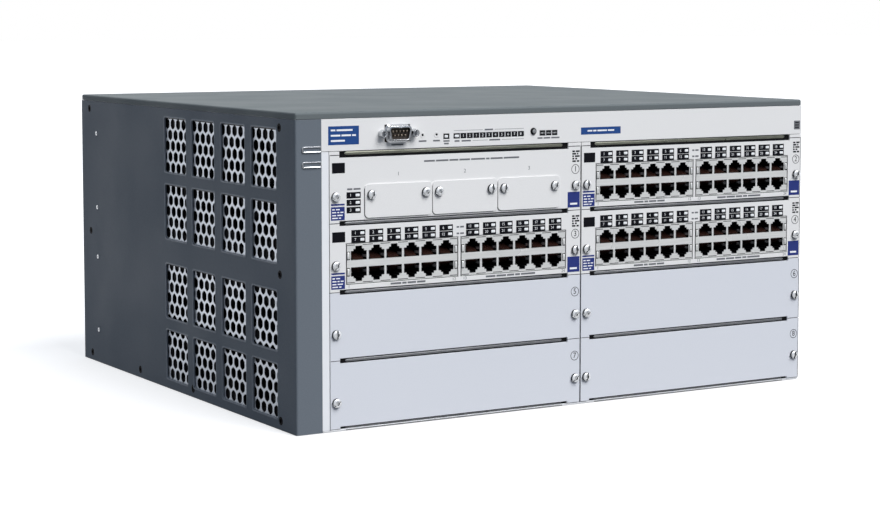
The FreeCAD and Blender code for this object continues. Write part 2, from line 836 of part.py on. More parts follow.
def console_connector():
    body = new_body("console_shell")
    rim = [trapezium("shell_top", "shell_bottom", "shell_height"),
           trapezium("shell_top - 2 * shell_wall", "shell_bottom - 2 * shell_wall",
                     "shell_height - 2 * shell_wall")]
    profile = sketch(body, "rim", "XZ_Plane", f"-{FRAME_FRONT}", rim)
    pad(body, "shell", profile, "skin + shell_proud")
    flange = [rectangle(console_span("shell_flange_width / 2"), console_height("shell_flange_height / 2")),
              rim[1]]
    holes = [((f"{HEADER_LEFT} + console_set {sign} jack_half", f"{HEADER_BOTTOM} + console_rise"),
              "screw_radius + button_clear") for sign in ("-", "+")]
    profile = sketch(body, "flange", "XZ_Plane", f"-{FRAME_FRONT} - shell_flange", flange, holes)
    pad(body, "plate", profile, "shell_flange")
    finish(body)

    insert = new_body("console_insert_body")
    inside = trapezium("shell_top - 2 * shell_wall - 2 * shell_clear",
                       "shell_bottom - 2 * shell_wall - 2 * shell_clear",
                       "shell_height - 2 * shell_wall - 2 * shell_clear")
    profile = sketch(insert, "face", "XZ_Plane", f"-{FRAME_BACK} - light_depth", [inside])
    pad(insert, "core", profile, "light_depth + frame_sheet + skin + shell_proud - insert_recess - pin_side")
    pieces = [insert]
    for row, count, lift in (("top", 5, "pin_row"), ("bottom", 4, "-pin_row")):
        for step in range(count):
            x = f"({HEADER_LEFT} + console_set + {step - (count - 1) / 2} * pin_pitch)"
            z = f"({HEADER_BOTTOM} + console_rise + {lift})"
            pieces.append(block(f"console_{row}_pin_{step}", (f"{x} - pin_side / 2", f"{x} + pin_side / 2"),
                                (f"{FRONT} - shell_proud + pin_side", f"{FRAME_BACK}"),
                                (f"{z} - pin_side / 2", f"{z} + pin_side / 2")))
    carrier = block("console_carrier", console_span("shell_flange_width / 2"),
                    (f"{FRAME_FRONT} + shell_flange", f"{FRAME_BACK} + light_depth"),
                    (f"{MANAGEMENT} + board_sheet", f"{HEADER_BOTTOM} + console_rise + shell_height / 2"))
    jack_room = [rod(f"jack_room_{sign}", "screw_radius + button_clear", "y",
                     (f"{HEADER_LEFT} + console_set {symbol} jack_half", f"{FRAME_FRONT} + shell_flange",
                      f"{HEADER_BOTTOM} + console_rise"), "light_depth + frame_sheet - shell_flange")
                 for sign, symbol in (("left", "-"), ("right", "+"))]
    pieces.append(cut("console_carrier_bored", carrier, jack_room))
    finish(fuse("console_insert", pieces))

    jacks = []
    for sign, symbol in (("left", "-"), ("right", "+")):
        spot = (f"{HEADER_LEFT} + console_set {symbol} jack_half", f"{FRONT} - jack_height",
                f"{HEADER_BOTTOM} + console_rise")
        nut = doc.addObject("Part::Prism", f"jack_nut_{sign}")
        nut.Polygon = 6
        nut.Placement = FreeCAD.Placement(FreeCAD.Vector(), FreeCAD.Rotation(AXES["z"], AXES["y"]))
        nut.setExpression("Circumradius", bound("jack_radius"))
        nut.setExpression("Height", bound("jack_height"))
        place(nut, spot)
        shank = rod(f"jack_shank_{sign}", "screw_radius", "y", (spot[0], FRONT, spot[2]),
                    "skin + shell_flange + frame_sheet")
        bore = rod(f"jack_bore_{sign}", "screw_radius", "y", spot, "jack_height - screw_radius")
        jacks.append(cut(f"jack_{sign}", fuse(f"jack_solid_{sign}", [nut, shank]), [bore]))
    finish(gather("console_jackscrews", jacks))


# Each button: its place along the header, its radius and how far its tip stands out of the panel
BUTTONS = {
    "mode_button": ("mode_set", "mode_button_radius", "mode_button_proud"),
    "reset_button": ("reset_set", "pin_button_radius", "(-pin_button_recess)"),
    "clear_button": ("clear_set", "pin_button_radius", "(-pin_button_recess)"),
}

# Each light: its start along the header and its width
LIGHTS = {
    "self_test_light": ("self_test_set", "self_test_width"),
    "mode_lights": ("mode_light_set", "mode_light_width"),
    "status_light_bar": ("status_set", "status_width"),
}


def button_place(spot, depth):
    return (f"{HEADER_LEFT} + {spot}", depth, f"{HEADER_BOTTOM} + button_rise")


def buttons():
    for name, (spot, radius, proud) in BUTTONS.items():
        back = f"({FRAME_FRONT} + seat_gap + button_stem)"
        cap = rod(f"{name}_cap", radius, "y", button_place(spot, f"{FRONT} - {proud}"),
                  f"{back} - ({FRONT} - {proud})")
        collar = rod(f"{name}_collar", f"{radius} + button_flange", "y",
                     button_place(spot, f"{FRAME_FRONT} + seat_gap"), "button_flange_sheet")
        finish(fuse(name, [cap, collar]))


def light(name):
    """A light block that fills its window and stands on the management board."""
    start, width = LIGHTS[name]
    span = (f"{HEADER_LEFT} + {start}", f"{HEADER_LEFT} + {start} + {width}")
    top = f"{HEADER_BOTTOM} + light_rise + light_height"
    lens = block(f"{name}_lens", span, (f"{FRONT} + seat_gap", f"{FRAME_BACK} + light_depth"),
                 (f"{HEADER_BOTTOM} + light_rise", top))
    foot = block(f"{name}_foot", span, (f"{FRAME_BACK} + seat_gap", f"{FRAME_BACK} + light_depth"),
                 (f"{MANAGEMENT} + board_sheet", top))
    return fuse(name, [lens, foot])


def header_lights():
    finish(light("status_light_bar"))
    finish(gather("indicator_lights", [light("self_test_light"), light("mode_lights")]))


def trim_bars():
    bars = []
    face = value(f"{FRONT} - trim_sheet")
    for number in range(2):
        top = f"({HEADER_TOP} - trim_drop + trim_height - {number} * trim_pitch)"
        bar = block(f"trim_blank_{number}", (f"{LEFT} + trim_left", f"{LEFT} + trim_left + trim_length"),
                    (f"{FRONT} - trim_sheet", FRONT), (f"{top} - trim_height", top))
        bars.append(rounded(f"trim_bar_{number}", bar, "trim_round", lambda point: near(point.y, face)))
    finish(gather("corner_trim_bars", bars))


# Inside
def card_shelf():
    span = (f"{LEFT} + shelf_left", inward("right", WALL_FAR, WALL_FAR)[0])
    deck = block("shelf_deck", span, (FRAME_BACK, f"{BACKPLANE} + backplane_sheet"),
                 (SHELF, f"{SHELF} + inner_sheet"))
    posts = []
    for x in ("management_set", "management_width / 2 + management_set", "management_width"):
        for y in ("management_set", "management_depth - management_set"):
            posts.append(rod(f"standoff_{len(posts)}", "standoff_radius", "z",
                             (f"{HEADER_LEFT} + {x} + management_set", f"{FRAME_BACK} + {y}",
                              f"{SHELF} + inner_sheet"), "standoff_height"))
    finish(fuse("card_shelf", [deck] + posts))


def management_board():
    left = f"({HEADER_LEFT} + management_set)"
    top = f"({MANAGEMENT} + board_sheet)"
    deck = block("management_deck", (left, f"{left} + management_width"),
                 (f"{FRAME_BACK} + board_gap", f"{FRAME_BACK} + management_depth"), (MANAGEMENT, top))
    pieces = [deck]
    for number in range(3):
        x = f"({left} + chip_pitch + {number} * chip_pitch)"
        y = f"({FRAME_BACK} + chip_set)"
        pieces.append(block(f"processor_{number}", (x, f"{x} + chip_side"), (y, f"{y} + chip_side"),
                            (top, f"{top} + chip_height")))
    for name, (spot, _, _) in BUTTONS.items():
        x, _, z = button_place(spot, FRONT)
        start = f"({FRAME_FRONT} + seat_gap + button_stem + switch_gap)"
        pieces.append(block(f"{name}_switch", (f"{x} - switch_side / 2", f"{x} + switch_side / 2"),
                            (start, f"{start} + switch_depth"), (top, f"{z} + switch_side / 2")))
    finish(fuse("management_board", pieces))


def board_span(number):
    """Width of a module board between its two guides."""
    across = slot_opening(0, number)[0]
    return (f"({across[0]} + board_inset)", f"({across[1]} - board_inset)")


def link_span(number):
    """Width of the rear connector of a slot, in the middle of its board."""
    left, right = board_span(number)
    middle = f"(({left} + {right}) / 2)"
    return (f"{middle} - link_width / 2", f"{middle} + link_width / 2")


def module_board(name, row, number):
    bottom = f"({line(row)} + board_rise)"
    top = f"({bottom} + board_sheet)"
    back = f"({FRONT} + module_depth)"
    deck = block(f"{name}_deck", board_span(number), (f"{FRAME_BACK} + board_gap", back), (bottom, top))
    plug = block(f"{name}_plug", link_span(number),
                 (f"{back} - link_overhang", f"{BACKPLANE} - socket_depth - board_gap"),
                 (top, f"{top} + link_height"))
    pieces = [deck, plug]
    left = board_span(number)[0]
    for count in range(3):
        x = f"({left} + chip_pitch * {count} + chip_side / 2)"
        y = f"({FRONT} + chip_set)"
        pieces.append(block(f"{name}_chip_{count}", (x, f"{x} + chip_side"), (y, f"{y} + chip_side"),
                            (top, f"{top} + chip_height")))
    finish(fuse(name, pieces))


def backplane():
    span = (board_span(0)[0], board_span(COLUMNS - 1)[1])
    sheet_run = (BACKPLANE, f"{BACKPLANE} + backplane_sheet")
    wide = (f"{span[0]} - guide_width", f"{span[1]} + guide_width")
    pieces = [block("backplane_sheet_panel", wide, sheet_run, ("skin + board_gap", f"{SHELF} - board_gap"))]
    for row in range(ROWS):
        bottom = f"({line(row)} + board_rise + board_sheet)"
        for number in range(COLUMNS):
            pieces.append(block(f"link_{row}_{number}", link_span(number),
                                (f"{BACKPLANE} - socket_depth", BACKPLANE),
                                (bottom, f"{bottom} + link_height")))
    for side in ("left", "right"):
        pieces.append(block(f"{side}_power_socket", power_span(side),
                            (f"{BACKPLANE} + backplane_sheet",
                             f"{BACKPLANE} + backplane_sheet + power_gap / 2 - board_gap"),
                            (f"{PSU_BOTTOM} + power_link_height / 2", f"{PSU_BOTTOM} + power_link_height * 1.5")))
    finish(fuse("backplane", pieces))


def power_span(side):
    edges = bay_span(side)
    middle = f"(({edges[0]} + {edges[1]}) / 2)"
    return (f"{middle} - power_link_width / 2", f"{middle} + power_link_width / 2")


def card_guides():
    """Grooved rails from the frame to the backplane, one at each edge of every slot's board."""
    rails = []
    run = (FRAME_BACK, BACKPLANE)
    for row in range(ROWS):
        middle = f"({line(row)} + board_rise + board_sheet / 2)"
        up = (f"{middle} - guide_height / 2", f"{middle} + guide_height / 2")
        groove_up = (f"{middle} - board_sheet / 2 - board_gap", f"{middle} + board_sheet / 2 + board_gap")
        for number in range(COLUMNS):
            left, right = board_span(number)
            ends = {
                "left": ((f"{left} - board_gap + guide_groove - guide_width",
                          f"{left} - board_gap + guide_groove"),
                         (f"{left} - board_gap", f"{left} - board_gap + guide_groove")),
                "right": ((f"{right} + board_gap - guide_groove",
                           f"{right} + board_gap - guide_groove + guide_width"),
                          (f"{right} + board_gap - guide_groove", f"{right} + board_gap")),
            }
            for end, (span, groove_span) in ends.items():
                name = f"guide_{row}_{number}_{end}"
                bar = block(f"{name}_bar", span, run, up)
                groove = block(f"{name}_groove", groove_span, run, groove_up)
                rails.append(cut(name, bar, [groove]))
    finish(gather("card_guides", rails))


# Modules
def port_blocks(name, row, number):
    """Two blocks of sockets in one module, latches up in the top row and down in the bottom row."""
    bottom = f"({line(row)} + board_rise + board_sheet)"
    middle = f"({bottom} + block_height / 2)"
    blocks = []
    for end in range(2):
        left = f"({column(number)} + block_first + {end} * ({BLOCK} + block_gap))"
        body = new_body(f"{name}_{end}")
        face = rectangle((left, f"{left} + {BLOCK}"), (bottom, f"{bottom} + block_height"))
        pad(body, "shell", sketch(body, "face", "XZ_Plane", f"-{FRONT} - block_depth", [face]), "block_depth")
        first = f"({left} + block_margin + port_pitch / 2)"
        sockets = [socket_outline(first, middle, sign) for sign in ("+", "-")]
        opening = pocket(body, "socket", sketch(body, "sockets", "XZ_Plane", f"-{FRONT}", sockets), "port_depth")
        repeat = body.newObject("PartDesign::LinearPattern", f"{name}_{end}_row")
        repeat.Originals = [opening]
        repeat.Direction = (opening.Profile[0], ["H_Axis"])
        repeat.Mode = "Spacing"
        repeat.setExpression("Offset", bound("port_pitch"))
        repeat.Occurrences = PORTS_PER_ROW
        body.Tip = repeat
        blocks.append(body)
    finish(gather(name, blocks))


def socket_outline(x, middle, sign):
    """A socket with its stepped latch notch, above or below the web between the two rows."""
    near_web = f"({middle} {sign} port_web / 2)"
    shoulder = f"({near_web} {sign} port_height)"
    step = f"({shoulder} {sign} step_height)"
    latch = f"({step} {sign} latch_height)"
    wide = (f"{x} - port_width / 2", f"{x} + port_width / 2")
    stepped = (f"{x} - step_width / 2", f"{x} + step_width / 2")
    narrow = (f"{x} - latch_width / 2", f"{x} + latch_width / 2")
    return [(wide[0], near_web), (wide[1], near_web), (wide[1], shoulder), (stepped[1], shoulder),
            (stepped[1], step), (narrow[1], step), (narrow[1], latch), (narrow[0], latch),
            (narrow[0], step), (stepped[0], step), (stepped[0], shoulder), (wide[0], shoulder)]


def port_module(name, row, number):
    bottom = f"({line(row)} + board_rise + board_sheet)"
    openings = []
    for end in range(2):
        left = f"({column(number)} + block_first + {end} * ({BLOCK} + block_gap))"
        openings.append(rectangle((f"{left} - block_clear", f"{left} + {BLOCK} + block_clear"),
                                  (f"{bottom} - block_clear", f"{bottom} + block_height + block_clear")))
    finish(plate(f"{name}_faceplate", row, number, openings))
    module_board(f"{name}_board", row, number)
    port_blocks(f"{name}_port_blocks", row, number)
    finish(gather(f"{name}_screws", plate_screws(f"{name}_screw", row, number)))


def transceiver_module(name, row, number):
    low = f"({line(row)} + bay_rise)"
    high = f"({low} + bay_height)"
    openings = []
    covers = []
    screws = plate_screws(f"{name}_screw", row, number)
    for bay in range(BAYS):
        left = f"({column(number)} + bay_first + {bay} * {BAY_PITCH})"
        right = f"({left} + {BAY_PITCH} - bay_seam)"
        openings.append(rectangle((f"{left} + 2 * bay_lap", f"{right} - 2 * bay_lap"),
                                  (f"{low} + bay_lap", f"{high} - bay_lap")))
        panel = block(f"bay_blank_{bay}", (left, right), (f"{FRONT} - bay_sheet", FRONT), (low, high))
        middle = value(f"{FRONT} - bay_sheet / 2")
        formed = rounded(f"bay_formed_{bay}", panel, "bay_round", lambda point: near(point.y, middle))
        holes = []
        for end, x in enumerate((f"{left} + bay_screw_edge", f"{right} - bay_screw_edge")):
            spot = (x, f"{low} + bay_screw_rise")
            holes.append(rod(f"bay_hole_{bay}_{end}", "screw_radius + screw_clear", "y",
                             (x, f"{FRONT} - bay_sheet", spot[1]), "bay_sheet"))
            screws.append(captive_screw(f"bay_screw_{bay}_{end}", spot, f"{FRONT} - bay_sheet",
                                        "bay_sheet"))
        covers.append(cut(f"bay_cover_{bay}", formed, holes))
    finish(plate(f"{name}_faceplate", row, number, openings))
    finish(gather(f"{name}_bay_covers", covers))
    module_board(f"{name}_board", row, number)
    finish(gather(f"{name}_screws", screws))


# Fans
def fan(number, depth, height):
    x = inward("left", WALL_FAR, f"{WALL_FAR} + fan_depth")
    y = f"({FRONT} + {depth})"
    half = "fan_size / 2"
    motor = (x[0], f"{x[0]} + motor_plate")
    case = block(f"fan_case_{number}", x, (f"{y} - {half}", f"{y} + {half}"),
                 (f"{height} - {half}", f"{height} + {half}"))
    duct = rod(f"fan_duct_{number}", "fan_bore", "x", (x[0], y, height), "fan_depth")
    ring = cut(f"fan_ring_{number}", case, [duct])
    level = block(f"fan_level_strut_{number}", motor, (f"{y} - {half}", f"{y} + {half}"),
                  (f"{height} - strut / 2", f"{height} + strut / 2"))
    upright = block(f"fan_upright_strut_{number}", motor, (f"{y} - strut / 2", f"{y} + strut / 2"),
                    (f"{height} - {half}", f"{height} + {half}"))
    plate_disc = rod(f"fan_motor_{number}", "fan_hub", "x", (x[0], y, height), "motor_plate")
    spider = fuse(f"fan_spider_{number}", [ring, level, upright, plate_disc])
    bore = rod(f"fan_bearing_{number}", "shaft_radius + shaft_gap", "x", (x[0], y, height), "motor_plate")
    finish(cut(f"fan_frame_{number}", spider, [bore]))

    body = new_body(f"fan_rotor_{number}")
    hub_length = "(fan_depth - motor_plate - 2 * fan_play)"
    hub = sketch(body, "hub", "YZ_Plane", "fan_play", [], [(("0", "0"), "fan_hub")])
    pad(body, "drum", hub, hub_length)
    spindle = sketch(body, "spindle", "YZ_Plane", "-motor_plate", [], [(("0", "0"), "shaft_radius")])
    pad(body, "shaft", spindle, "motor_plate + 2 * fan_play")
    tip = "sqrt((fan_bore - blade_gap)^2 - (blade_half + blade_sheet)^2)"
    front_edge = "(2 * fan_play)"
    back_edge = f"(fan_play + {hub_length} - fan_play)"
    middle = f"(({front_edge} + {back_edge}) / 2)"
    section = [(front_edge, "-blade_half"), (f"{middle} + blade_sheet", "-blade_sheet"),
               (back_edge, "blade_half"), (f"{back_edge} - blade_sheet", "blade_half"),
               (f"{middle} - blade_sheet / 2", "blade_sheet / 2"),
               (front_edge, "-blade_half + 2 * blade_sheet")]
    blade = pad(body, "blade", sketch(body, "section", "XY_Plane", "blade_root", [section]),
                f"{tip} - blade_root")
    ring_of_blades = body.newObject("PartDesign::PolarPattern", f"fan_{number}_blades")
    ring_of_blades.Originals = [blade]
    axes = body.Origin.OriginFeatures
    ring_of_blades.Axis = (next(item for item in axes if item.Role == "X_Axis"), [""])
    ring_of_blades.Angle = 360
    ring_of_blades.Occurrences = BLADES
    body.Tip = ring_of_blades
    place(body, (f"{x[0]} + motor_plate", y, height))
    finish(body)


# Rear
def supply_rails():
    rails = []
    run = (f"{BACKPLANE} + backplane_sheet + power_gap", f"{BACK} - skin")
    for side in ("left", "right"):
        low, high = bay_span(side)
        for end, span in enumerate(((low, f"{low} + rail_width"), (f"{high} - rail_width", high))):
            rails.append(block(f"{side}_rail_{end}", span, run, ("skin", "skin + rail_height")))
    finish(gather("supply_rails", rails))


def face_panel(name, side, run):
    """The outer plate of a supply or bay cover, lapping the rear panel round its bay."""
    low, high = bay_span(side)
    margin = "(face_lap + 2 * thumb_radius)"
    return block(name, (f"{low} - {margin}", f"{high} + {margin}"), run,
                 ("skin + rail_height - face_lap / 2", f"{PSU_BOTTOM} + psu_height + face_lap"))


def bay_cover():
    run = (BACK, f"{BACK} + face_sheet")
    panel = face_panel("supply_bay_panel", "left", run)
    holes = [rod(f"cover_hole_{end}", "screw_radius + screw_clear", "y", (x, BACK, z), "face_sheet")
             for end, (x, z) in enumerate(thumb_spots("left"))]
    finish(cut("supply_bay_cover", panel, holes))
    return thumb_screws("cover_thumb", "left", f"{BACK} + face_sheet")


def thumb_screws(name, side, seat):
    """Large-headed screws that hold a rear plate to the rear panel."""
    screws = []
    for end, (x, z) in enumerate(thumb_spots(side)):
        head = rod(f"{name}_head_{end}", "thumb_radius", "y", (x, seat, z), "thumb_height")
        shank = rod(f"{name}_shank_{end}", "screw_radius", "y", (x, f"{BACK} - skin - screw_reach", z),
                    f"({seat}) - ({BACK} - skin - screw_reach)")
        screws.append(fuse(f"{name}_{end}", [head, shank]))
    return screws


def power_supply():
    low, high = bay_span("right")
    run = (f"{BACK} + face_seat", PSU_BACK)
    top = f"({PSU_BOTTOM} + psu_height)"
    case = block("supply_box", (f"{low} + psu_play", f"{high} - psu_play"),
                 (f"{BACK} - skin - psu_depth", run[1]), (PSU_BOTTOM, top))
    plug = block("supply_plug", power_span("right"),
                 (f"{BACKPLANE} + backplane_sheet + power_gap / 2", f"{BACK} - skin - psu_depth"),
                 (f"{PSU_BOTTOM} + power_link_height / 2", f"{PSU_BOTTOM} + power_link_height * 1.5"))
    shell = fuse("supply_shell", [case, plug, face_panel("supply_face", "right", run)])
    tools = [rod(f"supply_hole_{end}", "screw_radius + screw_clear", "y", (x, run[0], z), "face_sheet")
             for end, (x, z) in enumerate(thumb_spots("right"))]
    middle = f"({PSU_BOTTOM} + psu_height / 2)"
    for number in range(VENT_SLOTS):
        x = f"({high} - psu_play - vent_slot_set - {number} * vent_slot_pitch)"
        tools.append(block(f"supply_vent_{number}", (f"{x} - vent_slot", x),
                           (f"{PSU_BACK} - vent_slot_depth", PSU_BACK),
                           (f"{middle} - vent_slot_height / 2", f"{middle} + vent_slot_height / 2")))
    inlet_x = f"({low} + inlet_set)"
    inlet_span = (f"{inlet_x} - inlet_width / 2", f"{inlet_x} + inlet_width / 2")
    inlet_up = (f"{middle} - inlet_height / 2", f"{middle} + inlet_height / 2")
    tools.append(block("inlet_pocket", inlet_span, (f"{PSU_BACK} - inlet_depth", PSU_BACK), inlet_up))
    finish(cut("supply_case", shell, tools))

    housing = block("inlet_housing", inlet_span,
                    (f"{PSU_BACK} - inlet_depth", f"{PSU_BACK} + inlet_proud"), inlet_up)
    well = block("inlet_well", (f"{inlet_span[0]} + inlet_wall", f"{inlet_span[1]} - inlet_wall"),
                 (f"{PSU_BACK} - inlet_depth + inlet_floor", f"{PSU_BACK} + inlet_proud"),
                 (f"{inlet_up[0]} + inlet_wall", f"{inlet_up[1]} - inlet_wall"))
    pieces = [cut("inlet_body", housing, [well])]
    for count, lift in ((-1, "-blade_pin_drop"), (0, "blade_pin_drop"), (1, "-blade_pin_drop")):
        x = f"({inlet_x} + {count} * blade_pin_pitch)"
        z = f"({middle} + {lift})"
        pieces.append(block(f"inlet_pin_{count + 1}", (f"{x} - blade_pin_sheet / 2", f"{x} + blade_pin_sheet / 2"),
                            (f"{PSU_BACK} - inlet_depth + inlet_floor",
                             f"{PSU_BACK} - inlet_depth + inlet_floor + blade_pin_length"),
                            (f"{z} - blade_pin_width / 2", f"{z} + blade_pin_width / 2")))
    finish(fuse("supply_inlet", pieces))

    handle = new_body("supply_handle")
    left = f"(({low} + {high}) / 2 - handle_span / 2)"
    right = f"({left} + handle_span)"
    out = f"({PSU_BACK} + handle_reach)"
    seat = f"({PSU_BACK} + handle_bar)"
    outline = [(f"{left} - handle_foot", PSU_BACK), (f"{left} + handle_bar", PSU_BACK),
               (f"{left} + handle_bar", f"{out} - handle_bar"), (f"{right} - handle_bar", f"{out} - handle_bar"),
               (f"{right} - handle_bar", PSU_BACK), (f"{right} + handle_foot", PSU_BACK),
               (f"{right} + handle_foot", f"{seat} - handle_bar / 2"), (right, f"{seat} - handle_bar / 2"),
               (right, out), (left, out), (left, f"{seat} - handle_bar / 2"),
               (f"{left} - handle_foot", f"{seat} - handle_bar / 2")]
    profile = sketch(handle, "bow", "XY_Plane", f"{top} - handle_height - face_lap", [outline])
    pad(handle, "strap", profile, "handle_height")
    finish(handle)
    finish(gather("supply_thumb_screws", thumb_screws("supply_thumb", "right", PSU_BACK)))


def build():
    top_cover()
    side_covers()
    cover_screws()
    rack_nut_group()
    left_inner_wall()
    right_inner_wall()
    base_pan()
    rear_panel()
    front_frame()
    slot_gaskets()
    header_panel()
    console_connector()
    buttons()
    header_lights()
    trim_bars()
    card_shelf()
    management_board()
    backplane()
    card_guides()
    panel_screws = blank_plates() + bay_cover()
    finish(gather("panel_screws", panel_screws))
    transceiver_module("module_1", ROWS - 1, 0)
    port_module("module_2", ROWS - 1, 1)
    port_module("module_3", ROWS - 2, 0)
    port_module("module_4", ROWS - 2, 1)
    for number, (depth, height) in enumerate(fan_centres(), start=1):
        fan(number, depth, height)
    supply_rails()
    power_supply()


def write():
    """Check every object, then write each sub-part to its own file."""
    doc.recompute()
    failed = [item.Name for item in doc.Objects if {"Invalid", "Error"} & set(item.State)]
    failed += [item.Name for item in parts if item.Shape.isNull() or not item.Shape.isValid()]
    if failed:
        raise RuntimeError(f"These objects did not build: {', '.join(failed)}")
    os.makedirs("parts", exist_ok=True)
    for item in parts:
        item.Shape.exportStep(f"parts/{item.Label}.step")
    print(f"{len(parts)} sub-parts, {sum(len(item.Shape.Solids) for item in parts)} solids")


build()
write()
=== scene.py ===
# %% [markdown]
# A modular network switch, dressed in Blender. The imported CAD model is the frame: it is loaded
# once and never moved. Everything here is in metres, in the frame of the CAD model, so a new
# piece is placed with the same numbers that a drawing of the object would give.

# %% Load the frame
import json
import math

import bmesh
import bpy
from mathutils import Matrix, Vector


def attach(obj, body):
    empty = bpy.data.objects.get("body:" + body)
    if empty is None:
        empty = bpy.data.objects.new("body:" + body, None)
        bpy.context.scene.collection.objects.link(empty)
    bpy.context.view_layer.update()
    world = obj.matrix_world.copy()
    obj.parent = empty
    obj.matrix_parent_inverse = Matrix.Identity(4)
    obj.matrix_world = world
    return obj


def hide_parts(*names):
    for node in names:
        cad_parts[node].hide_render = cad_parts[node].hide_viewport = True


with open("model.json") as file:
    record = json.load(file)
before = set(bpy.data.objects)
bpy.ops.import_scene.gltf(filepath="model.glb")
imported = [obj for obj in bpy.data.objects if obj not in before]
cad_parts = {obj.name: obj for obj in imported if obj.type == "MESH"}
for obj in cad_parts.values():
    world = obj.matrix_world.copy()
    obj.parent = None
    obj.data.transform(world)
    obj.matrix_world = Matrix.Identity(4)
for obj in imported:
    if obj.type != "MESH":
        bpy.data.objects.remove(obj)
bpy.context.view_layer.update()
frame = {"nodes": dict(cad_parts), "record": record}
MM = 0.001

# %% [markdown]
# The photograph is taken from the left front corner, a little above the lid. A camera is set by
# its place, the way it looks and its lens. The picture was cropped off centre, which a lens shift
# repeats without bending the straight edges.

# %% Camera
CAMERA_PLACE = Vector((-862.2, -1459.27, 285.53)) * MM
AZIMUTH = math.radians(-30.988)
ELEVATION = math.radians(4.655)
LENS, SENSOR = 86.13, 36
SHIFT = (-0.0062, -0.0801)


def in_scene(name, data):
    """A new object in the scene."""
    item = bpy.data.objects.new(name, data)
    bpy.context.scene.collection.objects.link(item)
    return item


def look_matrix(place, azimuth, elevation):
    """A camera's place and turn, from compass direction and height above the level."""
    back = Vector((math.sin(azimuth) * math.cos(elevation), -math.cos(azimuth) * math.cos(elevation),
                   math.sin(elevation)))
    right = Vector((math.cos(azimuth), math.sin(azimuth), 0))
    turn = Matrix((right, back.cross(right), back)).transposed().to_4x4()
    return Matrix.Translation(place) @ turn


camera_data = bpy.data.cameras.new("photo_camera")
camera_data.lens = LENS
camera_data.sensor_width = SENSOR
camera_data.shift_x, camera_data.shift_y = SHIFT
camera = in_scene("photo_camera", camera_data)
camera.matrix_world = look_matrix(CAMERA_PLACE, AZIMUTH, ELEVATION)
bpy.context.scene.camera = camera
bpy.context.scene.view_settings.view_transform = "Standard"
print("camera at", [round(value, 3) for value in camera.location])

# %% [markdown]
# A studio for a product picture is a pale floor and soft light. The lid is the brightest face and
# the vented side the darkest, so one broad sun lamp shines from above, in front and to the right,
# and the world fills in the rest, a little blue. A sun lights a wide floor evenly, which one near lamp
# can't. The floor shows white to the camera, but throws less light back, because the real side stays
# dark above it. Bright metal mirrors a white room behind the object and a dark one before it, where
# the photographer stands, so that screw heads get their dark sides.

# %% What the camera and a mirror see
MIRRORED_DARK = 0.12


def shader_tree(owner):
    """An empty node tree for a material or a world."""
    owner.use_nodes = True
    owner.node_tree.nodes.clear()
    return owner.node_tree


def add(tree, kind, inputs=None, **settings):
    """A shader node with its settings. Each input is set to a value or linked to a socket."""
    node = tree.nodes.new("ShaderNode" + kind)
    for name, value in settings.items():
        setattr(node, name, value)
    for label, value in (inputs or {}).items():
        if isinstance(value, bpy.types.NodeSocket):
            tree.links.new(value, node.inputs[label])
        else:
            node.inputs[label].default_value = value
    return node


def reckoned(tree, operation, first, second=0.0):
    return add(tree, "Math", {0: first, 1: second}, operation=operation).outputs[0]


def ramp(tree, value, span=(0, 1), reach=(0, 1)):
    """A number that runs over a reach while a value runs over a span."""
    return add(tree, "MapRange", {"Value": value, "From Min": span[0], "From Max": span[1],
                                  "To Min": reach[0], "To Max": reach[1]}).outputs["Result"]


def seen_white(tree, place, span):
    """One to the camera and through glass, what a mirror sees there, and nothing to bounced light."""
    depth = add(tree, "SeparateXYZ", {0: place}).outputs["Y"]
    room = ramp(tree, depth, span, (MIRRORED_DARK, 1))
    path = add(tree, "LightPath").outputs
    mirrored = reckoned(tree, "MULTIPLY", path["Is Glossy Ray"], room)
    seen = reckoned(tree, "MAXIMUM", path["Is Camera Ray"], mirrored)
    return reckoned(tree, "MAXIMUM", path["Is Transmission Ray"], seen)


print("darkest that a mirror sees:", MIRRORED_DARK)

# %% Floor
FLOOR_SIZE, FLOOR_DROP = 40, 0.0006
FLOOR_SEEN, FLOOR_BOUNCE, FLOOR_GLOW = 0.5, 0.12, 0.7
MIRRORED_FLOOR = (-0.45, 0.2)


def floor_finish():
    material = bpy.data.materials.new("studio_floor")
    tree = shader_tree(material)
    place = add(tree, "NewGeometry").outputs["Position"]
    seen = seen_white(tree, place, MIRRORED_FLOOR)
    matt = add(tree, "BsdfDiffuse", {"Color": ramp(tree, seen, reach=(FLOOR_BOUNCE, FLOOR_SEEN))})
    glow = add(tree, "Emission", {"Strength": ramp(tree, seen, reach=(0, FLOOR_GLOW))})
    both = add(tree, "AddShader", {0: matt.outputs[0], 1: glow.outputs[0]})
    add(tree, "OutputMaterial", {"Surface": both.outputs[0]})
    return material


floor_mesh = bpy.data.meshes.new("studio_floor")
half = FLOOR_SIZE / 2
floor_mesh.from_pydata([(-half, -half, 0), (half, -half, 0), (half, half, 0), (-half, half, 0)], [],
                       [(0, 1, 2, 3)])
floor_mesh.materials.append(floor_finish())
floor = in_scene("studio_floor", floor_mesh)
floor.location.z = -FLOOR_DROP
print("floor:", FLOOR_SIZE, "m wide")

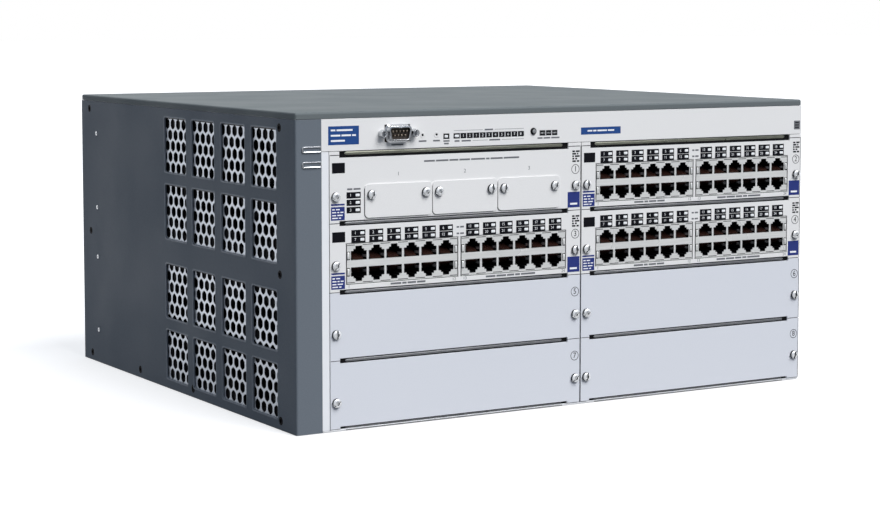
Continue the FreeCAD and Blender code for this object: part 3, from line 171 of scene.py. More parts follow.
# %% World and lamp
WHITE = (1, 1, 1, 1)
WORLD_LIGHT = 0.36
WORLD_TINT = (0.84, 0.98, 1.2, 1)
MIRRORED_ROOM = (-0.8, 0.1)
KEY_FROM = Vector((0.25, -0.6, 0.76)).normalized()
KEY_STRENGTH = 3.9
KEY_SPREAD = math.radians(40)
world = bpy.data.worlds.new("studio")
tree = shader_tree(world)
fill = add(tree, "Background", {"Color": WORLD_TINT, "Strength": WORLD_LIGHT})
white = add(tree, "Background", {"Color": WHITE})
way = add(tree, "TexCoord").outputs["Generated"]
seen = seen_white(tree, way, MIRRORED_ROOM)
room = add(tree, "MixShader", {0: seen, 1: fill.outputs[0], 2: white.outputs[0]})
add(tree, "OutputWorld", {"Surface": room.outputs[0]})
bpy.context.scene.world = world
key_data = bpy.data.lights.new("key_lamp", "SUN")
key_data.energy = KEY_STRENGTH
key_data.angle = KEY_SPREAD
key = in_scene("key_lamp", key_data)
key.matrix_world = KEY_FROM.to_track_quat("Z", "Y").to_matrix().to_4x4()
print("sun lamp", KEY_STRENGTH, "world", WORLD_LIGHT)

# %% [markdown]
# Many finishes share the same few effects, so each effect is a node group with named sockets: a
# rounded and slightly worn sheet edge, a fine grain, drawn lines, broad cloudy handling marks, the
# copper lines in a board, and painted shade on the flanks of holes and screw heads. A group gives
# masks, heights and normals only. The shader itself stays in the material.

# %% Wear, grain and handling
BEVEL_SAMPLES = 4
WORN_SPAN = (0.97, 0.8)
GRAIN_SPAN, GRAIN_DETAIL, DRAWN_DETAIL = (0.3, 0.7), 3, 4
HANDLING_SPAN, HANDLING_DETAIL = (0.35, 0.65), 5


def effect(name, inputs, build):
    """A shader group: its input sockets, and the outputs that a function builds from them."""
    tree = bpy.data.node_groups.new(name, "ShaderNodeTree")
    for label, value in inputs.items():
        kind = "NodeSocketVector" if isinstance(value, tuple) else "NodeSocketFloat"
        tree.interface.new_socket(label, in_out="INPUT", socket_type=kind).default_value = value
    results = build(tree, tree.nodes.new("NodeGroupInput").outputs)
    for label in results:
        kind = "NodeSocketVector" if label == "Normal" else "NodeSocketFloat"
        tree.interface.new_socket(label, in_out="OUTPUT", socket_type=kind)
    end = tree.nodes.new("NodeGroupOutput")
    for label, socket in results.items():
        tree.links.new(socket, end.inputs[label])
    return tree


def object_place(tree):
    return add(tree, "TexCoord").outputs["Object"]


def noise(tree, place, scale, detail):
    return add(tree, "TexNoise", {"Vector": place, "Scale": scale, "Detail": detail}).outputs["Fac"]


def sheet_edge(tree, given):
    """A rounded edge, and where it is worn: where rounding turns the face."""
    bevel = add(tree, "Bevel", {"Radius": given["Radius"]}, samples=BEVEL_SAMPLES).outputs["Normal"]
    face = add(tree, "NewGeometry").outputs["Normal"]
    dot = add(tree, "VectorMath", {0: bevel, 1: face}, operation="DOT_PRODUCT").outputs["Value"]
    return {"Normal": bevel, "Wear": ramp(tree, dot, WORN_SPAN)}


def fine_grain(tree, given):
    """Even fine noise: the skin of powder paint and the grain of moulded plastic."""
    height = noise(tree, object_place(tree), given["Scale"], GRAIN_DETAIL)
    return {"Mask": ramp(tree, height, GRAIN_SPAN), "Height": height}


def drawn_lines(tree, given):
    """Noise stretched along one axis: the lines that rolling and brushing leave in steel."""
    place = add(tree, "VectorMath", {0: object_place(tree), 1: given["Stretch"]}, operation="MULTIPLY")
    height = noise(tree, place.outputs["Vector"], 1, DRAWN_DETAIL)
    return {"Mask": ramp(tree, height, GRAIN_SPAN), "Height": height}


def handling(tree, given):
    """Broad cloudy patches, for gloss that varies where hands and cloths have been."""
    patches = noise(tree, object_place(tree), given["Scale"], HANDLING_DETAIL)
    return {"Mask": ramp(tree, patches, HANDLING_SPAN)}


EFFECTS = {"edge": effect("sheet_edge", {"Radius": 0.0004}, sheet_edge),
           "grain": effect("fine_grain", {"Scale": 900.0}, fine_grain),
           "drawn": effect("drawn_lines", {"Stretch": (1, 1, 1)}, drawn_lines),
           "handling": effect("handling", {"Scale": 18.0}, handling)}
print("effects for every finish:", ", ".join(EFFECTS))

# %% Copper lines and painted shade on flanks
PATCH_SCALE, TRACE_SCALE, TRACE_SPAN = 45, 190, (0.72, 0.86)
FLANK_SPAN = (0.6, 0.3)


def board_traces(tree, _):
    """Thin lines in blocky patches, one way or the other: the copper under a board's lacquer."""
    place = object_place(tree)
    patches = add(tree, "TexVoronoi", {"Vector": place, "Scale": PATCH_SCALE}, distance="CHEBYCHEV")
    way = add(tree, "SeparateColor", {"Color": patches.outputs["Color"]}).outputs["Red"]
    choice = reckoned(tree, "GREATER_THAN", way, 0.5)
    across, along = (add(tree, "TexWave", {"Vector": place, "Scale": TRACE_SCALE}, bands_direction=axis)
                     for axis in "XY")
    lines = add(tree, "Mix", {"Factor": choice, "A": across.outputs["Fac"], "B": along.outputs["Fac"]})
    return {"Mask": ramp(tree, lines.outputs["Result"], TRACE_SPAN)}


def flanks(axis):
    """A mask of painted shade: one on the flanks that run along an axis, such as the walls of a hole."""
    def build(tree, _):
        face = add(tree, "NewGeometry").outputs["True Normal"]
        across = add(tree, "SeparateXYZ", {0: face}).outputs[axis]
        return {"Mask": ramp(tree, reckoned(tree, "ABSOLUTE", across), FLANK_SPAN)}
    return build


EFFECTS |= {"traces": effect("board_traces", {}, board_traces),
            "hole_shade": effect("painted_hole_shade", {}, flanks("X")),
            "sides": effect("painted_screw_shade", {}, flanks("Y"))}
print("effects:", ", ".join(tree.name for tree in EFFECTS.values()))

# %% [markdown]
# Every finish is one Principled shader. Its colour moves a little between two tones with the
# grain, turns to a third tone where an edge is worn, and its gloss follows the handling marks.
# What differs between paint, zinc, chrome, plastic and circuit board is the values: two tones, the
# worn tone, the range of roughness, and what else that material needs.

# %% Values of the finishes
POWDER = {"grain": 1400.0}
SMOOTH = {"grain": 1800.0, "specular": 0.4}
ROLLED = {"depth": 0.00001, "edge": 0.0001}
POLISHED = {"grain": 2500.0, "depth": 0.000004, "edge": 0.0001}
MOULDED = {"grain": 2200.0}
GILT = {"grain": 3000.0, "depth": 0.000002, "edge": 0.00004}
PRINT = {"grain": 3000.0, "depth": 0.000003, "edge": 0.00002}
LABEL = {**PRINT, "edge": 0.00003, "specular": 0.12}
SPRING = {**ROLLED, "stretch": (120.0, 2500.0, 2500.0), "specular": 0.2}
LOOKS = {
    "dark_paint": ((0.128, 0.147, 0.17), (0.146, 0.167, 0.192), (0.212, 0.23, 0.251), (0.45, 0.55),
                   {**POWDER, "specular": 0.06}),
    # A lighter copy of the dark cover paint, with much paler edges on a wider bevel: painted highlight
    # where the window rims catch the light.
    "rim_highlight_paint": ((0.165, 0.187, 0.217), (0.19, 0.212, 0.244), (0.31, 0.335, 0.37), (0.4, 0.5),
                  {**POWDER, "specular": 0.2, "edge": 0.0003}),
    "lid_paint": ((0.12, 0.137, 0.142), (0.135, 0.153, 0.158), (0.2, 0.22, 0.225), (0.55, 0.65),
                  {**POWDER, "specular": 0.1}),
    "panel_paint": ((0.73, 0.722, 0.714), (0.765, 0.757, 0.749), (0.815, 0.81, 0.8), (0.36, 0.46), SMOOTH),
    "frame_paint": ((0.755, 0.765, 0.785), (0.79, 0.8, 0.82), (0.84, 0.845, 0.86), (0.36, 0.46), SMOOTH),
    "blank_paint": ((0.63, 0.645, 0.69), (0.665, 0.68, 0.725), (0.75, 0.76, 0.79), (0.36, 0.46), SMOOTH),
    "zinc_sheet": ((0.6, 0.61, 0.63), (0.7, 0.71, 0.73), (0.82, 0.82, 0.83), (0.3, 0.45),
                   {"metal": 0.35, "stretch": (40.0, 900.0, 900.0), "depth": 0.00001}),
    # The walls of the honeycomb's holes are darkened to near black: painted shade.
    "honeycomb_zinc": ((0.54, 0.57, 0.62), (0.66, 0.69, 0.74), (0.74, 0.76, 0.8), (0.3, 0.45),
                       {**ROLLED, "metal": 0.5, "stretch": (900.0, 60.0, 900.0),
                        "marked": ("hole_shade", (0.03, 0.032, 0.036))}),
    "bright_steel": ((0.5, 0.51, 0.53), (0.62, 0.63, 0.65), (0.8, 0.8, 0.82), (0.1, 0.2),
                     {**POLISHED, "metal": 1.0}),
    # The flanks of the screw heads are darkened to near black: painted shade.
    "screw_steel": ((0.84, 0.845, 0.85), (0.93, 0.935, 0.94), (0.95, 0.95, 0.95), (0.2, 0.3),
                    {**POLISHED, "metal": 0.45, "edge": 0.00005,
                     "marked": ("sides", (0.03, 0.033, 0.037))}),
    "black_steel": ((0.004, 0.004, 0.005), (0.007, 0.007, 0.008), (0.02, 0.02, 0.023), (0.35, 0.45),
                    {**POLISHED, "specular": 0.02}),
    "gasket_metal": ((0.14, 0.144, 0.15), (0.23, 0.235, 0.243), (0.34, 0.345, 0.355), (0.3, 0.45),
                     {**SPRING, "metal": 0.5}),
    "header_gasket": ((0.16, 0.165, 0.13), (0.26, 0.265, 0.22), (0.38, 0.38, 0.33), (0.25, 0.4),
                      {**SPRING, "metal": 0.7}),
    "socket_shield": ((0.69, 0.688, 0.67), (0.78, 0.777, 0.755), (0.85, 0.85, 0.84), (0.25, 0.38),
                      {**ROLLED, "metal": 0.3, "stretch": (60.0, 1500.0, 1500.0)}),
    "finger_steel": ((0.3, 0.3, 0.31), (0.42, 0.42, 0.43), (0.6, 0.6, 0.6), (0.2, 0.3),
                     {**POLISHED, "metal": 0.9, "edge": 0.00005}),
    "black_plastic": ((0.008, 0.008, 0.009), (0.014, 0.014, 0.016), (0.035, 0.035, 0.037), (0.4, 0.52),
                      {**MOULDED, "edge": 0.0001, "specular": 0.15}),
    "fan_plastic": ((0.002, 0.002, 0.003), (0.004, 0.004, 0.005), (0.008, 0.008, 0.009), (0.5, 0.62),
                    {**MOULDED, "specular": 0.03}),
    "liner_plastic": ((0.003, 0.003, 0.0035), (0.006, 0.006, 0.007), (0.01, 0.01, 0.011), (0.4, 0.5),
                      {**MOULDED, "edge": 0.00005, "specular": 0.1}),
    "grey_plastic": ((0.2, 0.205, 0.21), (0.24, 0.245, 0.25), (0.32, 0.33, 0.34), (0.3, 0.4),
                     {**MOULDED, "specular": 0.3}),
    "circuit_board": ((0.01, 0.09, 0.035), (0.02, 0.15, 0.06), (0.35, 0.3, 0.16), (0.18, 0.3),
                      {"grain": 320.0, "coat": 0.4, "marked": ("traces", (0.045, 0.24, 0.1))}),
    "contact_gold": ((0.12, 0.05, 0.04), (0.17, 0.075, 0.055), (0.27, 0.15, 0.11), (0.25, 0.35),
                     {**GILT, "metal": 0.8}),
    "pin_gold": ((0.17, 0.14, 0.11), (0.24, 0.2, 0.16), (0.36, 0.31, 0.26), (0.25, 0.35),
                 {**GILT, "metal": 1.0}),
    "connector_core": ((0.05, 0.04, 0.034), (0.075, 0.06, 0.05), (0.12, 0.1, 0.085), (0.4, 0.5),
                       {**MOULDED, "edge": 0.0001, "specular": 0.2}),
    "ink_black": ((0.004, 0.004, 0.006), (0.008, 0.008, 0.011), (0.012, 0.012, 0.015), (0.5, 0.6),
                  {**PRINT, "specular": 0.06}),
    "ink_white": ((0.8, 0.81, 0.83), (0.86, 0.86, 0.88), (0.88, 0.88, 0.88), (0.45, 0.55), PRINT),
    "ink_grey": ((0.13, 0.135, 0.145), (0.18, 0.185, 0.195), (0.22, 0.22, 0.23), (0.45, 0.55),
                 {**PRINT, "grain": 2600.0, "specular": 0.1}),
    "label_blue": ((0.022, 0.034, 0.16), (0.03, 0.045, 0.2), (0.07, 0.085, 0.27), (0.4, 0.5), LABEL),
    "header_blue": ((0.016, 0.055, 0.2), (0.024, 0.075, 0.25), (0.07, 0.12, 0.32), (0.4, 0.5), LABEL),
    "cooling_fin": ((0.3, 0.31, 0.33), (0.38, 0.39, 0.41), (0.55, 0.56, 0.58), (0.3, 0.4),
                    {**ROLLED, "metal": 0.7, "stretch": (1500.0, 60.0, 1500.0)}),
    "chip_black": ((0.012, 0.012, 0.013), (0.02, 0.02, 0.021), (0.05, 0.05, 0.052), (0.4, 0.55),
                   {"grain": 1600.0, "edge": 0.0001, "specular": 0.3}),
    "lamp_lens": ((0.78, 0.79, 0.8), (0.86, 0.87, 0.88), (0.9, 0.9, 0.9), (0.12, 0.2),
                  {**PRINT, "grain": 2600.0, "edge": 0.00004, "coat": 0.5}),
}
print("finishes listed:", len(LOOKS))

# %% Materials of the finishes
BUMP = 0.5


def placed(tree, name, inputs=None):
    """The outputs of a shared effect in a material."""
    return add(tree, "Group", inputs, node_tree=EFFECTS[name]).outputs


def mixed(tree, mask, first, second):
    """A colour between two others, by a mask. Either may be a colour or a socket."""
    node = add(tree, "Mix", {"Factor": mask}, data_type="RGBA")
    for label, colour in (("A", first), ("B", second)):
        socket = next(item for item in node.inputs if item.name == label and item.type == "RGBA")
        if isinstance(colour, tuple):
            socket.default_value = (*colour, 1)
        else:
            tree.links.new(colour, socket)
    return next(item for item in node.outputs if item.type == "RGBA")


def finish(name, low, high, worn, gloss, metal=0.0, grain=900.0, stretch=None, depth=0.00003,
           edge=0.0004, coat=0.0, specular=0.5, marked=None):
    """A material from its row of values."""
    material = bpy.data.materials.new(name)
    tree = shader_tree(material)
    edges = placed(tree, "edge", {"Radius": edge})
    pattern = ("drawn", {"Stretch": stretch}) if stretch else ("grain", {"Scale": grain})
    texture = placed(tree, *pattern)
    colour = mixed(tree, texture["Mask"], low, high)
    colour = mixed(tree, edges["Wear"], colour, worn)
    if marked:
        kind, tone = marked
        colour = mixed(tree, placed(tree, kind)["Mask"], colour, tone)
    rough = ramp(tree, placed(tree, "handling")["Mask"], reach=gloss)
    bump = add(tree, "Bump", {"Strength": BUMP, "Distance": depth, "Height": texture["Height"],
                              "Normal": edges["Normal"]})
    shader = add(tree, "BsdfPrincipled", {"Base Color": colour, "Metallic": metal, "Roughness": rough,
                                          "Coat Weight": coat, "Specular IOR Level": specular,
                                          "Normal": bump.outputs["Normal"]})
    add(tree, "OutputMaterial", {"Surface": shader.outputs["BSDF"]})
    return material


FINISHES = {name: finish(name, *tones, **more) for name, (*tones, more) in LOOKS.items()}
print("finishes:", ", ".join(FINISHES))

# %% [markdown]
# A CAD node keeps its shape and takes the finish that the record names for it. A few nodes have a
# finish of their own: the blank plates are a bluer paint than the modules, the frame round them is
# whiter, the fans behind the vents are a deep matt black, the core of the console connector is
# brown, and the rear panel has the dark paint of the covers.

# %% Finishes on the CAD nodes
FOUR = range(1, 5)
OWN_FINISH = {"front_frame": "frame_paint", "console_insert": "connector_core", "rear_panel": "dark_paint"}
NUMBERED = {"blank_plate": "blank_paint", "fan_frame": "fan_plastic", "fan_rotor": "fan_plastic"}
for stem, look in NUMBERED.items():
    OWN_FINISH |= {f"{stem}_{number}": look for number in FOUR}
for part in frame["record"]["subparts"]:
    node = frame["nodes"][part["node"]]
    node.data.materials.clear()
    node.data.materials.append(FINISHES[OWN_FINISH.get(part["node"], part["material_slot"])])

# %% [markdown]
# New pieces are drawn as stamped and turned parts are: a flat outline on a face of the chassis,
# raised outwards in steps. A face has its own right, up and outward directions, so the same code
# serves the front, the back and both sides. Everything is drawn in millimetres and scaled once.

# %% Outlines on a face
FRONT_TURN, LEFT_TURN, RIGHT_TURN, BACK_TURN = 0, -90, 90, 180


def facing(turn, x, y, z):
    """Right, up and outward of an upright face, by the turn of its outward side about the vertical."""
    spin = Matrix.Rotation(math.radians(turn), 4, "Z") @ Matrix.Rotation(math.pi / 2, 4, "X")
    return Matrix.Translation((x, y, z)) @ spin


def spun(degrees):
    return Matrix.Rotation(math.radians(degrees), 4, "Z")


def rectangle(left, right, low, high):
    return [(left, low), (right, low), (right, high), (left, high)]


def arc(middle, radius, start, sweep, steps):
    """Points along an arc, by its first angle and its sweep in degrees."""
    turns = [math.radians(start + sweep * step / steps) for step in range(steps + 1)]
    return [(middle[0] + radius * math.cos(turn), middle[1] + radius * math.sin(turn)) for turn in turns]


def rounded(left, right, low, high, radius, steps=4):
    """A rectangle with round corners."""
    corners = ((right - radius, low + radius), (right - radius, high - radius),
               (left + radius, high - radius), (left + radius, low + radius))
    return [point for rank, corner in enumerate(corners)
            for point in arc(corner, radius, 90 * rank - 90, 90, steps)]


def circle(radius, count=32):
    turns = [math.tau * step / count for step in range(count)]
    return [(radius * math.cos(turn), radius * math.sin(turn)) for turn in turns]


def raised(outline, height):
    return [(x, y, height) for x, y in outline]


print("turns of the faces:", FRONT_TURN, LEFT_TURN, RIGHT_TURN, BACK_TURN)

# %% Skins over outlines
def drawings(count):
    return [bmesh.new() for _ in range(count)]


def loft(mesh, rings, place=Matrix(), closed=True):
    """A skin over a row of rings. It is capped at both ends, or joined end to start."""
    skin = [[mesh.verts.new(place @ Vector(point)) for point in ring] for ring in rings]
    pairs = list(zip(skin, skin[1:]))
    if not closed:
        pairs.append((skin[-1], skin[0]))
    for lower, upper in pairs:
        for step in range(len(lower)):
            mesh.faces.new((lower[step - 1], lower[step], upper[step], upper[step - 1]))
    if closed:
        mesh.faces.new(skin[0][::-1])
        mesh.faces.new(skin[-1])


def plate(mesh, outline, low, high, place=Matrix()):
    """An outline raised from one height to another."""
    loft(mesh, [raised(outline, low), raised(outline, high)], place)


def turned(mesh, profile, place=Matrix(), count=32, closed=True):
    """A turned part: a row of radius and height, from its foot to its top."""
    loft(mesh, [raised(circle(radius, count), height) for radius, height in profile], place, closed)


def stepped(mesh, box, rows, place, closed=True, steps=4):
    """A rounded rectangle in steps: a row of inset, corner radius and height."""
    rings = []
    for inset, radius, height in rows:
        sides = [edge + sign * inset for edge, sign in zip(box, (1, -1, 1, -1))]
        rings.append(raised(rounded(*sides, radius, steps), height))
    loft(mesh, rings, place, closed)


print("skins:", ", ".join(skin.__name__ for skin in (loft, plate, turned, stepped)))

# %% Pieces
SHARP = math.radians(32)
SLOT_OF = {"rim_highlight_paint": "dark_paint", "honeycomb_zinc": "zinc_sheet", "cooling_fin": "zinc_sheet",
           "header_gasket": "gasket_metal", "screw_steel": "bright_steel", "finger_steel": "bright_steel",
           "contact_gold": "bright_steel", "pin_gold": "bright_steel", "liner_plastic": "black_plastic",
           "chip_black": "black_plastic", "ink_black": "black_plastic", "ink_white": "panel_paint",
           "ink_grey": "grey_plastic", "label_blue": "grey_plastic", "header_blue": "grey_plastic",
           "lamp_lens": "grey_plastic"}


def mesh_data(name, mesh):
    """Mesh data from a drawing, with its normals outwards."""
    bmesh.ops.recalc_face_normals(mesh, faces=mesh.faces)
    data = bpy.data.meshes.new(name)
    mesh.to_mesh(data)
    mesh.free()
    return data


def piece(name, mesh, look, body="chassis", replaces=(), slot=None):
    """A finished piece of the model: scaled to metres, dressed and riding on its body."""
    bmesh.ops.scale(mesh, vec=(MM, MM, MM), verts=mesh.verts)
    data = mesh_data(name, mesh)
    data.materials.append(FINISHES[look])
    data.shade_smooth()
    data.set_sharp_from_angle(angle=SHARP)
    item = in_scene(name, data)
    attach(item, body)
    slot or SLOT_OF.get(look, look)
    if replaces:
        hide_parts(*replaces)


def stamp(mesh, data, place):
    """Adds a copy of ready mesh data to a drawing."""
    copy = data.copy()
    copy.transform(place)
    mesh.from_mesh(copy)
    bpy.data.meshes.remove(copy)


print("looks with a slot of their own:", len(FINISHES) - len(SLOT_OF))

# %% [markdown]
# The plates of the chassis lie on a grid: two columns and four rows of slots. The numbers here are
# the ones that the drawing of the chassis gives, in millimetres from the middle of the floor.

# %% Grid of the slots
FACE = -195.0
COLUMNS = (-195.3, 12.85)
COLUMN_WIDTH = 208.15
ROW_LINES = (1.2, 48.6, 96.0, 143.4)
HEADER_LOW = 193.2
MODULES = {"module_1": (COLUMNS[0], ROW_LINES[3]), "module_2": (COLUMNS[1], ROW_LINES[3]),
           "module_3": (COLUMNS[0], ROW_LINES[2]), "module_4": (COLUMNS[1], ROW_LINES[2])}
PORT_MODULES = ("module_2", "module_3", "module_4")
BLANKS = [(left, low) for low in (ROW_LINES[1], ROW_LINES[0]) for left in COLUMNS]
SCREW_ENDS = (5, COLUMN_WIDTH - 5)
SCREW_RISE = 18.5
BAY_LEFTS = (27.6, 81.7, 135.8)
BAY_WIDTH, BAY_ROUND = 53.5, 3
BAY_LOW, BAY_HIGH = 3, 26.3


def front_at(x=0, z=0, proud=0.0):
    """The front face of the plates, with its own middle at a point."""
    return facing(FRONT_TURN, x, FACE - proud, z)


print("slots:", len(COLUMNS) * len(ROW_LINES))

# %% [markdown]
# A bright pan-headed screw holds every plate. A turned profile gives the head, and a tool cut out of
# it with a Boolean modifier gives the recess: a slot with a round well in its middle, as a punch
# leaves it in a real head. One head is carved and then stamped at every place, each turned a little
# differently, because no two screws stop at the same angle.

# %% One screw head
PAN_HEAD = ((3.3, 0), (3.3, 1.2), (3.15, 1.7), (2.8, 2.08), (2.3, 2.28), (1.6, 2.37), (0.7, 2.4))
PLATE_SHANK = ((1.2, -4.7), (1.5, -4.4), (1.5, 0))
BAY_SHANK = ((1.5, -0.7), (1.5, 0))
SLOT_HALF, SLOT_REACH, SLOT_FLOOR = 0.7, 4, 0.95
WELL, WELL_STEPS = 1.45, 8
TOOL_OVER = 0.1


def recess_outline(reach):
    """A driver slot with a round well in its middle."""
    start = math.degrees(math.asin(SLOT_HALF / WELL))
    half = [(reach, -SLOT_HALF), (reach, SLOT_HALF)]
    half += arc((0, 0), WELL, start, 180 - 2 * start, WELL_STEPS)
    return half + [(-x, -y) for x, y in half]


def carved(name, solid, tool):
    """What is left of one drawing where another is cut out of it."""
    items = [in_scene(name, mesh_data(name, mesh)) for mesh in (solid, tool)]
    change = items[0].modifiers.new("carve", "BOOLEAN")
    change.operation = "DIFFERENCE"
    change.solver = "EXACT"
    change.object = items[1]
    graph = bpy.context.evaluated_depsgraph_get()
    data = bpy.data.meshes.new_from_object(items[0].evaluated_get(graph))
    for item in items:
        bpy.data.meshes.remove(item.data)
    return data


def screw_data(name, head, shank, recess_floor=SLOT_FLOOR, reach=SLOT_REACH):
    solid, tool = drawings(2)
    turned(solid, (*shank, *head))
    plate(tool, recess_outline(reach), recess_floor, head[-1][1] + TOOL_OVER)
    return carved(name, solid, tool)


PLATE_SCREW = screw_data("plate_screw", PAN_HEAD, PLATE_SHANK)
BAY_SCREW = screw_data("bay_screw", PAN_HEAD, BAY_SHANK)
print("faces of one screw:", len(PLATE_SCREW.polygons))

# %% Screws on the modules
GOLDEN_TURN, ROW_WEIGHT = 137.5, 3
SLOT_TURN, SLOT_SPREAD = 55, 35
BAY_SCREW_ENDS, BAY_SCREW_RISE, BAY_SHEET = (5, 48.5), 19.1, 0.7


def screw_at(mesh, data, x, z, proud=0.0):
    """Stamps one screw on the front, its slot turned by its place in the row."""
    angle = SLOT_TURN + SLOT_SPREAD * math.sin(math.radians(GOLDEN_TURN * (x + ROW_WEIGHT * z)))
    stamp(mesh, data, front_at(x, z, proud) @ spun(angle))


for name, (left, low) in MODULES.items():
    mesh = bmesh.new()
    for end in SCREW_ENDS:
        screw_at(mesh, PLATE_SCREW, left + end, low + SCREW_RISE)
    if name not in PORT_MODULES:
        for bay in BAY_LEFTS:
            for end in BAY_SCREW_ENDS:
                screw_at(mesh, BAY_SCREW, left + bay + end, low + BAY_SCREW_RISE, BAY_SHEET)
    piece(f"{name}_pan_screws", mesh, "screw_steel", name, (f"{name}_screws",))
print("modules with screws:", ", ".join(MODULES))

# %% [markdown]
# The blank plates have the same screws. Their CAD node also holds the two thumb screws of the
# empty supply bay at the back, so the piece that stands for it has those too: broad heads with a
# knurled rim, made by drawing every second point of the rim inwards, and a slot across the top.

# %% Blank plate screws and thumb screws
BACK_FACE, SUPPLY_FACE = 196.5, 196.7
THUMB_RISE, THUMB_ENDS = 78, (5.5, 191.5)
THUMB_KNURL, THUMB_GRIP, THUMB_POINTS = 0.35, (0.6, 7.2), 72
THUMB_PROFILE = ((1.5, -4.2), (1.5, 0), (4.75, 0), (5, 0.6), (5, 7.2), (4.65, 7.8), (4, 8))
THUMB_SLOT = rectangle(-10, 10, -0.6, 0.6)
THUMB_CUT = (6.6, 9)


def knurled(radius, height):
    dips = [THUMB_KNURL * (step % 2) if height in THUMB_GRIP else 0 for step in range(THUMB_POINTS)]
    points = circle(1, THUMB_POINTS)
    return [(x * (radius - dip), y * (radius - dip), height) for (x, y), dip in zip(points, dips)]


def thumb_screws(mesh, side, depth):
    for end in THUMB_ENDS:
        stamp(mesh, THUMB_SCREW, facing(BACK_TURN, side * end, depth, THUMB_RISE))


solid, tool = drawings(2)
loft(solid, [knurled(*row) for row in THUMB_PROFILE])
plate(tool, THUMB_SLOT, *THUMB_CUT)
THUMB_SCREW = carved("thumb_screw", solid, tool)
mesh, supply_mesh = drawings(2)
for left, low in BLANKS:
    for end in SCREW_ENDS:
        screw_at(mesh, PLATE_SCREW, left + end, low + SCREW_RISE)
thumb_screws(mesh, -1, BACK_FACE)
piece("panel_pan_screws", mesh, "screw_steel", replaces=("panel_screws",))
thumb_screws(supply_mesh, 1, SUPPLY_FACE)
piece("supply_knurled_screws", supply_mesh, "bright_steel", "power_supply", ("supply_thumb_screws",))
print("faces of one thumb screw:", len(THUMB_SCREW.polygons))

# %% [markdown]
# The side covers are held by dark countersunk screws that lie flush with the sheet. They get the
# same kind of recess, carved from a cone.

# %% Cover screws
SIDE = 221.0
SIDES = ((LEFT_TURN, -1), (RIGHT_TURN, 1))
SIDE_SCREWS = [(y, z) for y in (-171, 178) for z in (6.4, 108, 209)] + [(76.7, 6.4), (-24.4, 6.4)]
FLAT_HEAD = ((1.5, -1.2), (2.95, -0.12), (2.95, -0.02), (0.8, -0.02))
COVER_SHANK = ((1.5, -2.4), (1.5, -1.2))
COVER_FLOOR, COVER_REACH = -0.8, 1.95
FLAT_SCREW = screw_data("cover_screw", FLAT_HEAD, COVER_SHANK, COVER_FLOOR, COVER_REACH)
mesh = bmesh.new()
for turn, side in SIDES:
    for y, z in SIDE_SCREWS:
        stamp(mesh, FLAT_SCREW, facing(turn, side * SIDE, y, z) @ spun(GOLDEN_TURN * (y + z) % 360))
piece("flush_cover_screws", mesh, "black_steel", replaces=("cover_screws",))
print("cover screws:", len(SIDES) * len(SIDE_SCREWS))

# %% [markdown]
# In the open lines between the plates lie bowed spring strips that earth one plate to the next.
# Each is a bow carried along the slot and drawn in at its ends. Behind it a black bed fills the line:
# painted shade, the dark depth of the open line. The pair under the header has an olive passivated
# finish. A flat strip of the plain metal lies on the lip of the base, below the lowest line.

# %% Spring strips between the rows
FRAME_FACE = -193.8
ON_FRAME = facing(FRONT_TURN, 0, FRAME_FACE, 0)
STRIP_ENDS = (12.4, 192.2)
SHADE_BED, SHADE_BED_RISE, SHADE_BED_ROUND = (8.15, 196.5), 0.2, 0.5
BEAD_SHARE, HEADER_BEAD_SHARE = (0.2, 0.86), (0.36, 0.97)
STRIP_BOW = ((-1, 0), (-0.8, 0.4), (-0.42, 0.56), (-0.34, 0.44), (-0.16, 0.66), (0.16, 0.7),
             (0.34, 0.46), (0.42, 0.58), (0.8, 0.4), (1, 0))
STRIP_TAPER = ((0, 0.3), (0.6, 0.75), (1.6, 1))
LINE_HALF = 1.6
LINE_SPANS = [(1.4, 2.8)] + [(line - LINE_HALF, line + LINE_HALF) for line in ROW_LINES[1:]]
HEADER_SPAN = (188.6, 193.0)
SILL_SPAN, SILL_PROUD = (0.1, 0.9), 0.12


def strip(mesh, left, span, share):
    """One bowed strip along a slot, over a share of the line's height."""
    low, high = (span[0] + (span[1] - span[0]) * part for part in share)
    middle, half_height = (low + high) / 2, (high - low) / 2
    stations = [(left + STRIP_ENDS[0] + step, size) for step, size in STRIP_TAPER]
    stations += [(left + STRIP_ENDS[1] - step, size) for step, size in reversed(STRIP_TAPER)]
    loft(mesh, [[(x, middle + up * half_height * size, out * size) for up, out in STRIP_BOW]
                for x, size in stations], ON_FRAME)


strips, header_strips, bed_shade = drawings(3)
for left in COLUMNS:
    sill = rectangle(left + STRIP_ENDS[0], left + STRIP_ENDS[1], *SILL_SPAN)
    plate(strips, sill, 0, SILL_PROUD, front_at())
    for span in LINE_SPANS:
        strip(strips, left, span, BEAD_SHARE)
    strip(header_strips, left, HEADER_SPAN, HEADER_BEAD_SHARE)
    for span in LINE_SPANS + [HEADER_SPAN]:
        bed = rounded(left + SHADE_BED[0], left + SHADE_BED[1], *span, SHADE_BED_ROUND)
        plate(bed_shade, bed, 0, SHADE_BED_RISE, ON_FRAME)
piece("slot_spring_strips", strips, "gasket_metal", replaces=("slot_gaskets",))
piece("header_spring_strips", header_strips, "header_gasket")
# A black bed behind every spring strip: painted shade in the open line.
piece("strip_shade_beds", bed_shade, "liner_plastic")
print("spring strips:", len(COLUMNS) * (len(LINE_SPANS) + 2))

# %% [markdown]
# A socket is a shielded metal shell with a black plastic liner, eight gold contacts that slope up
# from its floor, and a bright spring finger on each side wall that touches a plug's shield. The
# liner is a cup drawn on the stepped outline of the opening. Springs and contacts are thin strips
# that follow a few points into the depth. The lower row is the upper one turned over.

